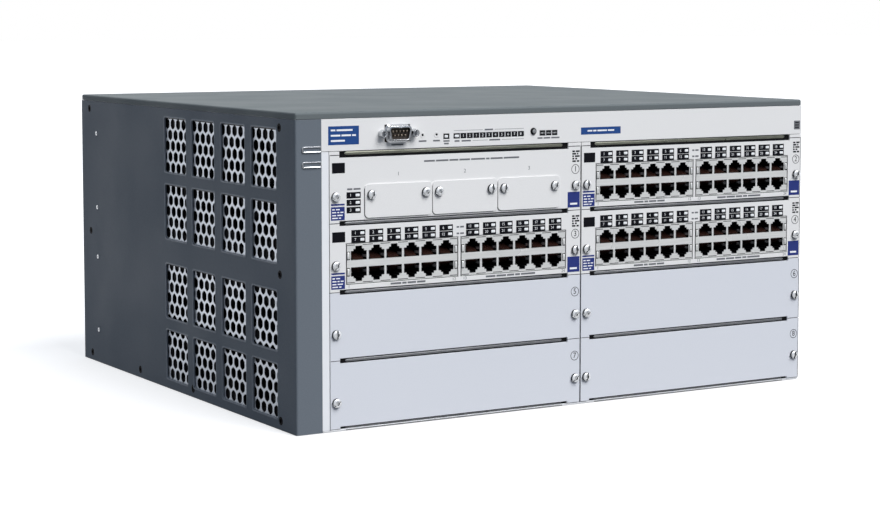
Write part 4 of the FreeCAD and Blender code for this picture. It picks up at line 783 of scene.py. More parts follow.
# %% One socket
SOCKET_FLOOR = 2.45
SOCKET_SIDE = ((6.2, 8.85), (4.2, 8.85), (4.2, 10.25), (2.6, 10.25), (2.6, 12.25))
LINER_STEPS = ((0.05, -14.6), (0.05, -0.3), (0.3, -0.3), (0.3, -13.8))
FINGER_PATH = ((0.15, 0), (1, 0.1), (2, 0.8), (3.2, 1.15), (4.8, 0.6), (6.2, 0.05))
FINGER_SPAN, FINGER_WALL, FINGER_SHEET = (4.2, 6.0), 5.9, 0.25
CONTACT_PATH = ((0.7, 0.5), (1.4, 0.9), (6.5, 3.9), (10, 4.7))
CONTACTS, CONTACT_PITCH, CONTACT_HALF, CONTACT_SHEET = 8, 1.02, 0.23, 0.25


def socket_outline(inset):
    """A socket opening from the middle of its block, drawn in by an inset."""
    side = [(SOCKET_SIDE[0][0] - inset, SOCKET_FLOOR + inset)]
    side += [(x - inset, z - inset) for x, z in SOCKET_SIDE]
    return side + [(-x, z) for x, z in reversed(side)]


def socket_data():
    """Liner, side fingers and contacts of one socket."""
    liner, fingers, contacts = meshes = drawings(3)
    loft(liner, [raised(socket_outline(inset), height) for inset, height in LINER_STEPS])
    for side in (-1, 1):
        walls = [(side * (FINGER_WALL - reach), depth) for depth, reach in FINGER_PATH]
        loft(fingers, [raised(rectangle(wall - side * FINGER_SHEET, wall, *FINGER_SPAN), -depth)
                       for wall, depth in walls])
    for number in range(CONTACTS):
        x = (number - (CONTACTS - 1) / 2) * CONTACT_PITCH
        floors = [(SOCKET_FLOOR + rise, depth) for depth, rise in CONTACT_PATH]
        loft(contacts, [raised(rectangle(x - CONTACT_HALF, x + CONTACT_HALF, z, z + CONTACT_SHEET), -depth)
                        for z, depth in floors])
    return [mesh_data("socket", mesh) for mesh in meshes]


SOCKET = socket_data()
print("faces of one socket:", [len(data.polygons) for data in SOCKET])

# %% Sockets on the modules
BLOCK_LEFTS = (13.3, 105.3)
BLOCK_WIDTH, BLOCK_MIDDLE, BLOCK_HALF = 89.2, 19.3, 13.8
FIRST_PORT, PORT_PITCH, PORTS = 9.6, 14, 6
SOCKET_LOOKS = (("socket_liners", "liner_plastic", None),
                ("socket_fingers", "finger_steel", "socket_shield"),
                ("socket_contacts", "contact_gold", None))


def port_places(left):
    """The middle of every port column of a module, in both blocks."""
    return [left + block + FIRST_PORT + PORT_PITCH * port for block in BLOCK_LEFTS for port in range(PORTS)]


for name in PORT_MODULES:
    left, low = MODULES[name]
    for data, (label, look, slot) in zip(SOCKET, SOCKET_LOOKS):
        mesh = bmesh.new()
        for x in port_places(left):
            for turn in (0, 180):
                stamp(mesh, data, front_at(x, low + BLOCK_MIDDLE) @ spun(turn))
        piece(f"{name}_{label}", mesh, look, name, slot=slot)
print("sockets on a module:", 2 * len(port_places(left)))

# %% [markdown]
# The face of a block shows how its shield is folded: a dark slot round each earthing tab at its
# ends, a raised bright tab in it, and short dark seams between the latches along both long edges.
# A black line inside both ends of each block is painted shade: the dark gap round it in its plate.

# %% Shield folds on the blocks
INK = 0.05
ROW_MIDDLE = 5.65
TAB_SLOT, TAB_SLOT_ROUND = (0.2, 2.7, 2.9), 0.4
TAB_RISE, TAB_ROUND = ((0.55, 2.3, 2.3, 0), (0.55, 2.3, 2.3, 0.25), (0.85, 2.1, 1.9, 0.5)), 0.3
GAP_SHADE_LINE = 0.3
SEAM_HALF, SEAM_DROP, SEAM_HEIGHT, SEAM_EDGE = 3.9, 0.85, 0.45, 0.6


def tab_outline(way, near, far, tall, radius):
    return rounded(*sorted((way * near, way * far)), -tall, tall, radius)


for name in PORT_MODULES:
    left, low = MODULES[name]
    middle = low + BLOCK_MIDDLE
    slots, tabs = drawings(2)
    for block in BLOCK_LEFTS:
        for way, edge in ((1, left + block), (-1, left + block + BLOCK_WIDTH)):
            for row in (-ROW_MIDDLE, ROW_MIDDLE):
                place = front_at(edge, middle + row)
                plate(slots, tab_outline(way, *TAB_SLOT, TAB_SLOT_ROUND), 0, INK, place)
                rings = [raised(tab_outline(way, *size, TAB_ROUND), out) for *size, out in TAB_RISE]
                loft(tabs, rings, place)
            # A black line inside each end of the block: painted shade of the gap round it.
            line = rectangle(*sorted((0, way * GAP_SHADE_LINE)), -BLOCK_HALF, BLOCK_HALF)
            plate(slots, line, 0, INK, front_at(edge, middle))
        for port in range(PORTS + 1):
            centre = block + FIRST_PORT + PORT_PITCH * (port - 0.5)
            start = max(centre - SEAM_HALF, block + SEAM_EDGE)
            end = min(centre + SEAM_HALF, block + BLOCK_WIDTH - SEAM_EDGE)
            seam = rectangle(start, end, -SEAM_HEIGHT / 2, SEAM_HEIGHT / 2)
            for side in (-1, 1):
                plate(slots, seam, 0, INK, front_at(left, middle + side * (BLOCK_HALF - SEAM_DROP)))
    piece(f"{name}_shield_slots", slots, "ink_black", name)
    piece(f"{name}_shield_tabs", tabs, "socket_shield", name)
print("shield folds on", len(PORT_MODULES), "modules")

# %% [markdown]
# What is printed on the plates is made as thin raised ink, in one piece for each colour, so that it
# keeps its sharp edges in every view. Plain numbers come from Blender's own font, turned into mesh
# once for each number and stamped. Lines of small print are plain bars.

# %% Ink, numbers and lamps
INK_OVER = 0.09
LENS_STEPS = ((0, 0.5, 0), (0, 0.5, 0.1), (0.25, 0.5, 0.2))
CAPITAL_SHARE = 0.7
WORD_SPACE = 0.9
# The black and grey ink pieces hold print, and on the plates also the painted shade at the joints.
INKS = {"ink_black": "black_print", "ink_white": "white_print", "ink_grey": "grey_print",
        "label_blue": "blue_labels", "lamp_lens": "lamps", "header_blue": "blue_panel_labels"}
NUMBER_DATA = {}


def number_data(text, height):
    """Mesh data of a printed number, in the middle of its own place."""
    if (text, height) not in NUMBER_DATA:
        curve = bpy.data.curves.new("number", "FONT")
        curve.body = text
        curve.size = height / CAPITAL_SHARE
        curve.align_x = "CENTER"
        curve.align_y = "CENTER"
        curve.resolution_u = 3
        curve.extrude = INK / 4
        item = in_scene("number", curve)
        graph = bpy.context.evaluated_depsgraph_get()
        NUMBER_DATA[text, height] = bpy.data.meshes.new_from_object(item.evaluated_get(graph))
        bpy.data.objects.remove(item)
        bpy.data.curves.remove(curve)
    return NUMBER_DATA[text, height]


def number(mesh, text, height, x, z, proud=INK_OVER):
    stamp(mesh, number_data(text, height), front_at(x, z, proud - INK / 4))


def field(mesh, left, right, low, high, proud=INK):
    """A printed field of colour on the front."""
    plate(mesh, rectangle(left, right, low, high), 0, proud, front_at())


def small_print(mesh, left, right, z, words, height, proud=INK):
    """A line of print too small to read: bars as long as its words."""
    room = right - left - WORD_SPACE * (len(words) - 1)
    for word in words:
        end = left + room * word / sum(words)
        field(mesh, left, end, z - height / 2, z + height / 2, proud)
        left = end + WORD_SPACE


def lens(mesh, left, right, low, high, proud):
    """A small lamp window with a crowned face."""
    stepped(mesh, (left, right, low, high), LENS_STEPS, front_at(proud=proud))


def new_inks():
    return dict(zip(INKS, drawings(len(INKS))))


def keep_inks(owner, body, inks):
    """One piece for each ink that was used."""
    for look, mesh in inks.items():
        if len(mesh.verts):
            piece(f"{owner}_{INKS[look]}", mesh, look, body)
        else:
            mesh.free()


print("inks:", len(INKS))

# %% [markdown]
# Above every port stands a black tag with the port's number and a white lamp window, in two rows of
# six over each block. A dark tile fills the upper left corner of a plate, and blue labels with
# plain white bars stand at both ends. Small grey print runs under the blocks.

# %% Tags, painted joint shade and slot marks
ROW_PITCH = 47.4
PLATE_EDGE, JOINT_LINE = 0.2, 0.5
TAB_ENDS = (7.9, 196.75)
TAG_WIDTH, TAG_HALF, TAG_PITCH = 11, 2.15, 14.08
TAG_LEFTS, TAG_ROWS = (17.1, 109.4), (40.4, 35.8)
TAG_LAMP, TAG_NUMBER, TAG_TEXT = (7.0, 10.2, 0.95), 3.1, 1.9
MARK_AT, MARK_RISE, MARK_TEXT, MARK_POINTS = 203, 30.2, 4, 40
MARK_RING = ((3.1, 0), (3.5, 0), (3.5, INK), (3.1, INK))


def tag(inks, left, middle, text):
    field(inks["ink_black"], left, left + TAG_WIDTH, middle - TAG_HALF, middle + TAG_HALF)
    number(inks["ink_white"], text, TAG_TEXT, left + TAG_NUMBER, middle)
    start, end, half_height = TAG_LAMP
    lens(inks["lamp_lens"], left + start, left + end, middle - half_height, middle + half_height, INK)


def joint_lines(inks, left, low):
    """Painted shade at a plate's joints: black on the right, grey on the left and foot, black on top in the
    upper row.
    """
    foot, top = low + PLATE_EDGE, low + ROW_PITCH - PLATE_EDGE
    start, end = left + PLATE_EDGE, left + COLUMN_WIDTH - PLATE_EDGE
    field(inks["ink_black"], end - JOINT_LINE, end, foot, top)
    field(inks["ink_grey"], start, start + JOINT_LINE / 2, foot, top)
    for span in ((start + JOINT_LINE, left + TAB_ENDS[0]), (left + TAB_ENDS[1], end - 2 * JOINT_LINE)):
        field(inks["ink_grey"], *span, foot, foot + JOINT_LINE / 2)
        if low == ROW_LINES[-1]:
            field(inks["ink_black"], *span, top - JOINT_LINE, top)


def slot_mark(inks, slot_number, left, z):
    """The number of a slot in a ring, near the right end of its plate."""
    turned(inks["ink_black"], MARK_RING, front_at(left + MARK_AT, z), MARK_POINTS, closed=False)
    number(inks["ink_black"], str(slot_number), MARK_TEXT, left + MARK_AT, z, INK)


print("tag:", TAG_WIDTH, "by", 2 * TAG_HALF, "mm")

# %% Print on the modules
END_FIELDS = (("ink_black", 2.3, 12.3, 34.6, 41.7), ("label_blue", 1.4, 12, 2.4, 11.6),
              ("label_blue", 1.4, 12, 12.5, 13.7), ("label_blue", 196.2, 206.9, 2.2, 13.6))
LABEL_BAR = (198.4, 204.6, 4.2, 5.6)
LABEL_LEFT, LABEL_TEXT = 2.3, 0.8
LABEL_PRINT = ((9.8, 8.2, (2, 3)), (7.8, 11, (4, 2, 3)), (5.8, 10.4, (3, 4)), (3.9, 9.2, (5, 2)))
CODE_LEFT, CODE_TEXT = 200.2, 1.2
CODE_PRINT = ((43.2, 206.6, (2, 3)), (41.4, 205.4, (3, 1)), (39.6, 206.6, (1, 3)), (37.8, 204.4, (1, 1)),
              (36, 206.2, (3, 2)))
PORT_PRINT = [(101.6, 107.6, middle, (2, 3), 1.2) for middle in TAG_ROWS]
PORT_PRINT += [(48, 76, 3.6, (5, 2, 4, 4), 1.3), (126, 168, 3.6, (4, 4, 3, 2, 6), 1.3)]
PORT_NUMBERS = (("1", 15.2), ("12", 99.5), ("13", 108.5), ("24", 192.5))
PORT_NUMBER_RISE, PORT_TEXT = 3.6, 2.2


def plate_ends(inks, left, low):
    """The tile, labels and marks that every module has at its two ends."""
    for ink, start, end, foot, top in END_FIELDS:
        field(inks[ink], left + start, left + end, low + foot, low + top)
    start, end, foot, top = LABEL_BAR
    field(inks["ink_white"], left + start, left + end, low + foot, low + top, INK_OVER)
    for z, end, words in LABEL_PRINT:
        small_print(inks["ink_white"], left + LABEL_LEFT, left + end, low + z, words, LABEL_TEXT, INK_OVER)
    for z, end, words in CODE_PRINT:
        small_print(inks["ink_black"], left + CODE_LEFT, left + end, low + z, words, CODE_TEXT)


for slot_number, (name, (left, low)) in enumerate(MODULES.items(), start=1):
    inks = new_inks()
    plate_ends(inks, left, low)
    slot_mark(inks, slot_number, left, low + MARK_RISE)
    joint_lines(inks, left, low)
    if name in PORT_MODULES:
        places = [(start + TAG_PITCH * port, row) for start in TAG_LEFTS for row in TAG_ROWS
                  for port in range(PORTS)]
        for count, (x, row) in enumerate(places, start=1):
            tag(inks, left + x, low + row, str(count))
        for start, end, z, words, height in PORT_PRINT:
            small_print(inks["ink_grey"], left + start, left + end, low + z, words, height)
        for text, x in PORT_NUMBERS:
            number(inks["ink_grey"], text, PORT_TEXT, left + x, low + PORT_NUMBER_RISE, INK)
    keep_inks(name, name, inks)
print("port tags on a module:", len(places))

# %% [markdown]
# The transceiver module has three lamp tags in a column beside its covers, a number over each bay
# and a line of small print along its top. A blank plate has only its slot number and painted joint shade.

# %% Print on the transceiver module and the blank plates
BAY_TAG_LEFT, BAY_TAG_ROWS = 13.5, (19.15, 14.05, 8.95)
BAY_MIDDLES, BAY_NUMBER_RISE, BAY_TEXT = (54.35, 108.45, 162.55), 32.5, 2.6
BAY_PRINT = ((14, 24.4, 23.4, (3, 4)), (75, 154, 40.6, (6, 7, 5, 6, 8, 2, 7, 9)))
BLANK_MARK_RISE = 35
left, low = MODULES["module_1"]
inks = new_inks()
for text, row, middle in zip("123", BAY_TAG_ROWS, BAY_MIDDLES):
    tag(inks, left + BAY_TAG_LEFT, low + row, text)
    number(inks["ink_grey"], text, BAY_TEXT, left + middle, low + BAY_NUMBER_RISE, INK)
for start, end, z, words in BAY_PRINT:
    small_print(inks["ink_grey"], left + start, left + end, low + z, words, CODE_TEXT)
keep_inks("module_1_bay", "module_1", inks)
inks = new_inks()
for slot_number, (left, low) in enumerate(BLANKS, start=len(MODULES) + 1):
    slot_mark(inks, slot_number, left, low + BLANK_MARK_RISE)
    joint_lines(inks, left, low)
keep_inks("blank_plates", "chassis", inks)
print("bay tags:", len(BAY_TAG_ROWS), "blank plates:", len(BLANKS))

# %% [markdown]
# The header carries a blue label at its left and a narrow one in the middle, a strip of status
# cells, and small captions. The strip itself is a CAD light bar. White lines divide it into cells,
# its first cell is a lamp, and the others are numbered.

# %% Status cells on the header
BAR_LEFT, BAR_RIGHT = -96.2, -37.3
BAR_SPAN = (198.9, 202.6)
BAR_MIDDLE = sum(BAR_SPAN) / 2
CELLS = 11
CELL = (BAR_RIGHT - BAR_LEFT) / CELLS
CELL_GAP = 0.45
FIRST_CELLS = 2
MODE_LEFT, MODE_CELLS, MODE_CELL = -23.7, 3, 5.2
MODE_PRINT, MODE_TEXT, MODE_INSETS = 200.8, 0.9, (1.1, 1.3)
LAMP_INSET, LAMP_SPAN, LAMP_SUNK = 1, (199.85, 201.65), -0.1
TEST_LAMP = (-103.5, -100.9)


def cell_line(x):
    field(inks["ink_white"], x - CELL_GAP / 2, x + CELL_GAP / 2, *BAR_SPAN)


inks = new_inks()
for cell in range(1, CELLS):
    x = BAR_LEFT + CELL * cell
    cell_line(x)
    text = str(cell if cell <= FIRST_CELLS else cell - FIRST_CELLS)
    number(inks["ink_white"], text, TAG_TEXT, x + CELL / 2, BAR_MIDDLE, INK)
for cell in range(MODE_CELLS):
    start = MODE_LEFT + MODE_CELL * cell
    end = start + MODE_CELL
    cell_line(end)
    span = (start + MODE_INSETS[0], end - MODE_INSETS[1])
    small_print(inks["ink_white"], *span, MODE_PRINT, (1, 1, 1), MODE_TEXT)
for span in ((BAR_LEFT + LAMP_INSET, BAR_LEFT + CELL - LAMP_INSET), TEST_LAMP):
    lens(inks["lamp_lens"], *span, *LAMP_SPAN, LAMP_SUNK)
print("status cells:", CELLS)

# %% Labels and captions on the header
HEADER_LABELS = ((-195.8, -172, 197.4, 210.2), (12.4, 47.9, 198.5, 203.8))
LABEL_LINES = ((-193.8, -177, 207.4, (2, 7), 1.2), (-193.8, -174.4, 203.8, (5, 5, 2), 1.2),
               (-193.8, -183, 200.2, (1,), 1.2), (18.2, 42, 201.2, (3, 2, 6, 4), 1.1))
CAPTION_TEXT = 1.1
CAPTIONS = ((-146.5, -137, 196.2), (-124.6, -118.4, 198), (-113, -107.4, 198), (-104.6, -99.6, 197.5),
            (-104, -100.2, 195.7), (-95.4, -91.4, 197.2), (-89.6, -82, 197.2), (-66.5, -57.5, 197.2),
            (-70.5, -63.5, 204.6))
MODE_CAPTION = (-25.5, -6.5, 197.2, (3, 4, 5))
RULES, RULE_HALF = ((-96, -72, 204.6), (-62, -37.4, 204.6), (-80.6, -68, 197.2), (-56, -37.4, 197.2)), 0.12
END_TILE, END_TILE_ROUND = (213.6, 219.6, 196.8, 203.6), 0.4
END_TILE_BARS, END_TILE_SPAN, END_TILE_HALF = (198.4, 200.2, 202), (214.6, 218.6), 0.4
for box in HEADER_LABELS:
    field(inks["header_blue"], *box)
for line in LABEL_LINES:
    small_print(inks["ink_white"], *line, INK_OVER)
for caption in [(*place, (1,)) for place in CAPTIONS] + [MODE_CAPTION]:
    small_print(inks["ink_grey"], *caption, CAPTION_TEXT)
for start, end, z in RULES:
    field(inks["ink_grey"], start, end, z - RULE_HALF, z + RULE_HALF)
plate(inks["ink_grey"], rounded(*END_TILE, END_TILE_ROUND), 0, INK, front_at())
for z in END_TILE_BARS:
    field(inks["ink_black"], *END_TILE_SPAN, z - END_TILE_HALF, z + END_TILE_HALF, INK_OVER)
keep_inks("header", "chassis", inks)
print("captions:", len(CAPTIONS) + 1)

# %% [markdown]
# The console connector has a drawn metal shell in the shape of a D, with every corner round and a
# flared foot. Rings of the same outline, grown or shrunk a little at each height, make it one
# continuous skin. Its nine pins are gold, with domed tips.

# %% Console connector
CONSOLE = (-141.7, 204.1)
SHELL_RINGS = ((1, 0), (1, 0.35), (0.6, 0.7), (0, 1.2), (0, 4.5), (-0.2, 4.85), (-0.55, 5), (-1.1, 5),
               (-1.4, 4.7), (-1.5, 4.2), (-1.5, 1.2))
D_TOP, D_BOTTOM, D_HALF = 9.45, 7.95, 5.35
D_ROUND, D_ROUND_SHARE = 2.6, 0.8
PIN_PITCH, PIN_ROW, PIN_POINTS = 2.77, 1.42, 16
PIN_ROWS = ((5, PIN_ROW), (4, -PIN_ROW))
PIN_PROFILE = ((0.74, 1.3), (0.74, 3.7), (0.6, 4.0), (0.3, 4.15))


def softened(corners, radii, steps=6):
    """A polygon with a round corner wherever it has a radius, bending either way."""
    points = []
    for rank, (corner, radius) in enumerate(zip(corners, radii)):
        if not radius:
            points.append(corner)
            continue
        here = Vector(corner)
        back = (Vector(corners[rank - 1]) - here).normalized()
        ahead = (Vector(corners[(rank + 1) % len(corners)]) - here).normalized()
        half_angle = back.angle(ahead) / 2
        centre = here + (back + ahead).normalized() * radius / math.sin(half_angle)
        start = here + back * radius / math.tan(half_angle) - centre
        sweep = math.copysign(math.pi - 2 * half_angle, ahead.cross(back))
        for step in range(steps + 1):
            points.append(tuple(centre + Matrix.Rotation(sweep * step / steps, 2) @ start))
    return points


def d_outline(grow):
    top, bottom, half_height = D_TOP + grow, D_BOTTOM + grow, D_HALF + grow
    corners = [(-bottom, -half_height), (bottom, -half_height), (top, half_height), (-top, half_height)]
    return softened(corners, [D_ROUND + D_ROUND_SHARE * grow] * len(corners))


shell, pins = drawings(2)
rings = [raised(d_outline(grow), height) for grow, height in SHELL_RINGS]
loft(shell, rings, front_at(*CONSOLE), closed=False)
for count, lift in PIN_ROWS:
    for pin in range(count):
        x = CONSOLE[0] + (pin - (count - 1) / 2) * PIN_PITCH
        turned(pins, PIN_PROFILE, front_at(x, CONSOLE[1] + lift), PIN_POINTS)
piece("console_d_shell", shell, "bright_steel", replaces=("console_shell",))
piece("console_pins", pins, "pin_gold")
print("console pins:", sum(count for count, _ in PIN_ROWS))

# %% [markdown]
# A jackscrew on each side of the connector takes the screw of a plug. It is a hexagon with its upper
# edge turned off and a threaded bore. Rings that are a circle, a hexagon or something between the two
# make it one skin, from the shank over the top and down into the thread.

# %% Jackscrews
JACK_HALF = 12.5
HEX_POINTS = 48
JACK_BODY = ((1.5, 1.5, -4.2), (1.5, 1.5, 0), (2.51, 2.9, 0), (2.51, 2.9, 4.3), (2.4, 2.45, 5),
             (1.75, 1.75, 5))
JACK_THREAD = [(radius, radius, height) for radius, height in
               ((1.5, 4.7), (1.5, 4.3), (1.3, 4.1), (1.5, 3.9), (1.3, 3.7), (1.5, 3.5), (1.3, 1.5))]


def hexagon_ring(flat, corner, height, count=HEX_POINTS):
    """A ring that is a hexagon, a circle or something between them."""
    ring = []
    for step in range(count):
        turn = math.tau * step / count
        off_flat = (turn + math.pi / 6) % (math.pi / 3) - math.pi / 6
        radius = min(flat / math.cos(off_flat), corner)
        ring.append((radius * math.cos(turn), radius * math.sin(turn), height))
    return ring


mesh = bmesh.new()
for side in (-1, 1):
    place = front_at(CONSOLE[0] + side * JACK_HALF, CONSOLE[1])
    loft(mesh, [hexagon_ring(*ring) for ring in (*JACK_BODY, *JACK_THREAD)], place)
piece("console_hex_jacks", mesh, "bright_steel", replaces=("console_jackscrews",))
print("rings of a jackscrew:", len(JACK_BODY) + len(JACK_THREAD))

# %% [markdown]
# The reset and clear buttons lie behind pinholes. A flat ring on the panel, in its paint, narrows each
# hole to the size of a pin. The mode button is a small dark dome on a stem, with a collar behind the
# panel and a grey middle, and rides on its own body. A turned profile gives each of them in one go.

# %% Pinholes and mode button
PINHOLES = ((-121.5, 202.2), (-110.2, 202.2))
PINHOLE_RINGS = ((2.1, 0), (2, 0.12), (0.95, 0.12), (0.8, 0))
MODE_PLACE = (-29.1, 202.2)
MODE_PROFILE = ((2.3, -4.6), (2.3, -2.3), (3.2, -2.3), (3.2, -1.3), (2.3, -1.3), (2.3, 0.6), (2.1, 1),
                (1.8, 1.2), (1.5, 1.24))
MODE_MIDDLE = ((1.5, 1.1), (1.5, 1.3), (1.3, 1.45), (0.9, 1.56), (0.4, 1.6))
holes, dome, middle = drawings(3)
for spot in PINHOLES:
    turned(holes, PINHOLE_RINGS, front_at(*spot), closed=False)
turned(dome, MODE_PROFILE, front_at(*MODE_PLACE))
turned(middle, MODE_MIDDLE, front_at(*MODE_PLACE))
piece("pinhole_rings", holes, "panel_paint")
piece("mode_button_dome", dome, "black_plastic", "mode_button", ("mode_button",))
piece("mode_button_middle", middle, "grey_plastic", "mode_button")
print("pinholes:", len(PINHOLES), "mode button at", MODE_PLACE)

# %% [markdown]
# Two small bright louvres stand on the dark front return beside the header. Each is a rounded frame
# with a sunk floor in the paint of the cover, so its rim catches the light and its middle stays dark.

# %% Corner louvres
TRIM_ENDS = (-216, -201.2)
TRIM_SPANS = ((192.6, 197.0), (182.3, 186.7))
TRIM_STEPS = ((0, 1.15, 0), (0, 1.15, 0.6), (0.25, 1.0, 0.9), (0.6, 0.79, 1), (0.95, 0.58, 0.85),
              (1.1, 0.5, 0))
TRIM_FLOOR = ((1.1, 0.5, 0), (1.1, 0.5, 0.3))
rims, floors = drawings(2)
for span in TRIM_SPANS:
    stepped(rims, (*TRIM_ENDS, *span), TRIM_STEPS, front_at(), closed=False)
    stepped(floors, (*TRIM_ENDS, *span), TRIM_FLOOR, front_at())
piece("corner_louvre_rims", rims, "bright_steel", replaces=("corner_trim_bars",))
piece("corner_louvre_floors", floors, "dark_paint")
print("louvres:", len(TRIM_SPANS))

# %% [markdown]
# A black strip lies on the frame behind every joint between the plates: painted shade, seen only
# through the joint as a dark line.

# %% Painted shade behind the joints
UPRIGHT_SHADE, LEVEL_SHADE = 0.25, 0.2
JOINT_HALF, JOINT_FOOT = 0.9, 1.4
JOINT_ENDS = ((0.3, 7.9), (196.7, 207))
JOINTS = (*ROW_LINES[1:], HEADER_LOW - 0.15)
mesh = bmesh.new()
upright = rectangle(COLUMNS[1] - JOINT_HALF, COLUMNS[1] + JOINT_HALF, JOINT_FOOT, HEADER_LOW)
plate(mesh, upright, 0, UPRIGHT_SHADE, ON_FRAME)
for left in COLUMNS:
    for z in JOINTS:
        for start, end in JOINT_ENDS:
            joint = rectangle(left + start, left + end, z - JOINT_HALF, min(z + JOINT_HALF, HEADER_LOW))
            plate(mesh, joint, 0, LEVEL_SHADE, ON_FRAME)
# Black strips behind the joints: painted shade.
piece("joint_painted_shade", mesh, "black_plastic")
print("joints closed:", len(COLUMNS) * len(JOINTS))

# %% [markdown]
# A black strip along the left and lower edges of each bay cover is painted shadow, the dark line
# that the cover's edge throws on the plate. It follows the cover's rounded corner.

# %% Painted shadow along the bay covers
SHADOW_OUT, SHADOW_IN = 0.4, -0.1
SHADOW_STEPS = 6
left, low = MODULES["module_1"]


def seat_edge(bay, grow):
    """The left and lower edges of a cover, grown a little."""
    foot = low + BAY_LOW
    corner = (left + bay + BAY_ROUND, foot + BAY_ROUND)
    upper = (left + bay - grow, low + BAY_HIGH - BAY_ROUND)
    lower = (left + bay + BAY_WIDTH - BAY_ROUND, foot - grow)
    return [upper] + arc(corner, BAY_ROUND + grow, 180, 90, SHADOW_STEPS) + [lower]


mesh = bmesh.new()
for bay in BAY_LEFTS:
    plate(mesh, seat_edge(bay, SHADOW_OUT) + seat_edge(bay, SHADOW_IN)[::-1], 0, INK, front_at())
# Black strips along the covers' left and lower edges: painted shadow.
piece("module_1_bay_painted_shadow", mesh, "black_plastic", "module_1")
print("bay seats:", len(BAY_LEFTS))

# %% [markdown]
# Every side window has a pressed rim with round corners, in a lighter copy of the cover paint: painted
# highlight where the rim catches the light. Behind its upper and rear edges the cover keeps the light
# off the honeycomb, and a black strip between cover and sheet stands there as painted shade, a dark
# line. Each rim is one closed ring of steps, the painted shade one L-shaped plate.

# %% Side windows
FAN_MIDDLES = [(y, z) for y in (-121.75, -20.65) for z in (161.7, 49.9)]
WINDOW_BAR, WINDOW_WIDTH = 9.5, 40.5
WINDOW_RAIL, WINDOW_HEIGHT = 8.8, 42.2
WINDOW_SILL = 7
WALL_FACE = 219.5
RIM_STEPS = [(inset, 2.2, rise) for inset, rise in
             ((-0.7, -0.05), (-0.6, 0.12), (-0.1, 0.25), (0.35, 0.1), (0.4, -1.15), (0, -1.15), (0, -0.05))]
SHADE_DROP, SHADE_REACH, SHADE_OVER, SHADE_CORNER = 1.2, 0.5, 1.6, 1
SHADE_SPAN = (0.02, 0.26)


def window_spans():
    """The four windows in front of each fan, as spans along the side and in height."""
    for y, z in FAN_MIDDLES:
        for near in (y - WINDOW_BAR / 2 - WINDOW_WIDTH, y + WINDOW_BAR / 2):
            for low in (z - WINDOW_RAIL / 2 - WINDOW_HEIGHT, z + WINDOW_RAIL / 2):
                yield (near, near + WINDOW_WIDTH), (max(low, WINDOW_SILL), low + WINDOW_HEIGHT)


def shade_outline(low, high):
    """Painted shade along the rear and upper edges of a window, from its rear edge forwards."""
    drop, far = high - SHADE_DROP, WINDOW_WIDTH + SHADE_OVER
    return [(-SHADE_OVER, low), (SHADE_REACH, low), (SHADE_REACH, drop - SHADE_CORNER),
            (SHADE_REACH + SHADE_CORNER, drop), (far, drop), (far, high + SHADE_OVER),
            (-SHADE_OVER, high + SHADE_OVER)]


rims, shades = drawings(2)
for turn, side in SIDES:
    for across, (low, high) in window_spans():
        start, end = sorted(side * y for y in across)
        stepped(rims, (start, end, low, high), RIM_STEPS, facing(turn, side * SIDE, 0, 0), closed=False)
        rear = start if side == -1 else end
        shade = [(rear - side * forward, z) for forward, z in shade_outline(low, high)]
        plate(shades, shade, *SHADE_SPAN, facing(turn, side * WALL_FACE, 0, 0))
# The rims take the lighter copy of the cover paint: painted highlight.
piece("window_rims", rims, "rim_highlight_paint")
# Black L-shaped strips behind the windows' upper and rear edges: painted shade.
piece("window_painted_shade", shades, "liner_plastic")
print("windows:", len(SIDES) * len(list(window_spans())))

# %% [markdown]
# Near the rear edge of each side sit the nuts for a rack bracket: a painted collar, and a bright
# threaded insert in it. Both are turned parts.

# %% Rack nuts
NUT_PLACES = [(163.5, z) for z in (189, 128.4, 87.6, 27)]
COLLAR_RINGS = ((2.8, -2.4), (2.8, 0.05), (2.5, 0.15), (1.9, 0.15), (1.75, 0.05), (1.75, -2.4))
INSERT_RINGS = ((1.75, -2.2), (1.75, 0.1), (1.6, 0.25), (1.1, 0.25), (0.8, 0), (0.8, -2.2))
collars, inserts = drawings(2)
for turn, side in SIDES:
    for y, z in NUT_PLACES:
        for mesh, profile in ((collars, COLLAR_RINGS), (inserts, INSERT_RINGS)):
            turned(mesh, profile, facing(turn, side * SIDE, y, z), closed=False)
piece("rack_nut_collars", collars, "dark_paint", replaces=("rack_nuts",))
piece("rack_nut_inserts", inserts, "bright_steel")
print("rack nuts:", len(SIDES) * len(NUT_PLACES))

# %% [markdown]
# Behind both vented covers stands a bright sheet, punched with a honeycomb whose holes have round
# corners. It is a channel, folded in along its top and bottom, so its cross-section is carried from
# front to back. A single Boolean cut then takes out every hole, one for each cell of an even lattice
# that shows in a window. The right wall is the mirror image of the left.

# %% Honeycomb lattice
LATTICE_START = (-156.6, 203.3)
LATTICE_PITCH, LATTICE_RISE = 9.9, 8.33
LATTICE_ROWS, LATTICE_COLUMNS = 24, range(-2, 20)
CELL_OVER, SCREW_ROOM = 3.0, 7.8


def cell_places():
    """Lattice cells that show in a window and are clear of the cover screws."""
    for row in range(LATTICE_ROWS):
        z = LATTICE_START[1] - LATTICE_RISE * row
        for column in LATTICE_COLUMNS:
            y = LATTICE_START[0] + LATTICE_PITCH * (column + row % 2 / 2)
            seen = any(near - CELL_OVER < y < far + CELL_OVER and low - CELL_OVER < z < high + CELL_OVER
                       for (near, far), (low, high) in window_spans())
            if seen and all(math.dist((y, z), screw) > SCREW_ROOM for screw in SIDE_SCREWS):
                yield y, z


cells = list(cell_places())
print("cells in a wall:", len(cells))

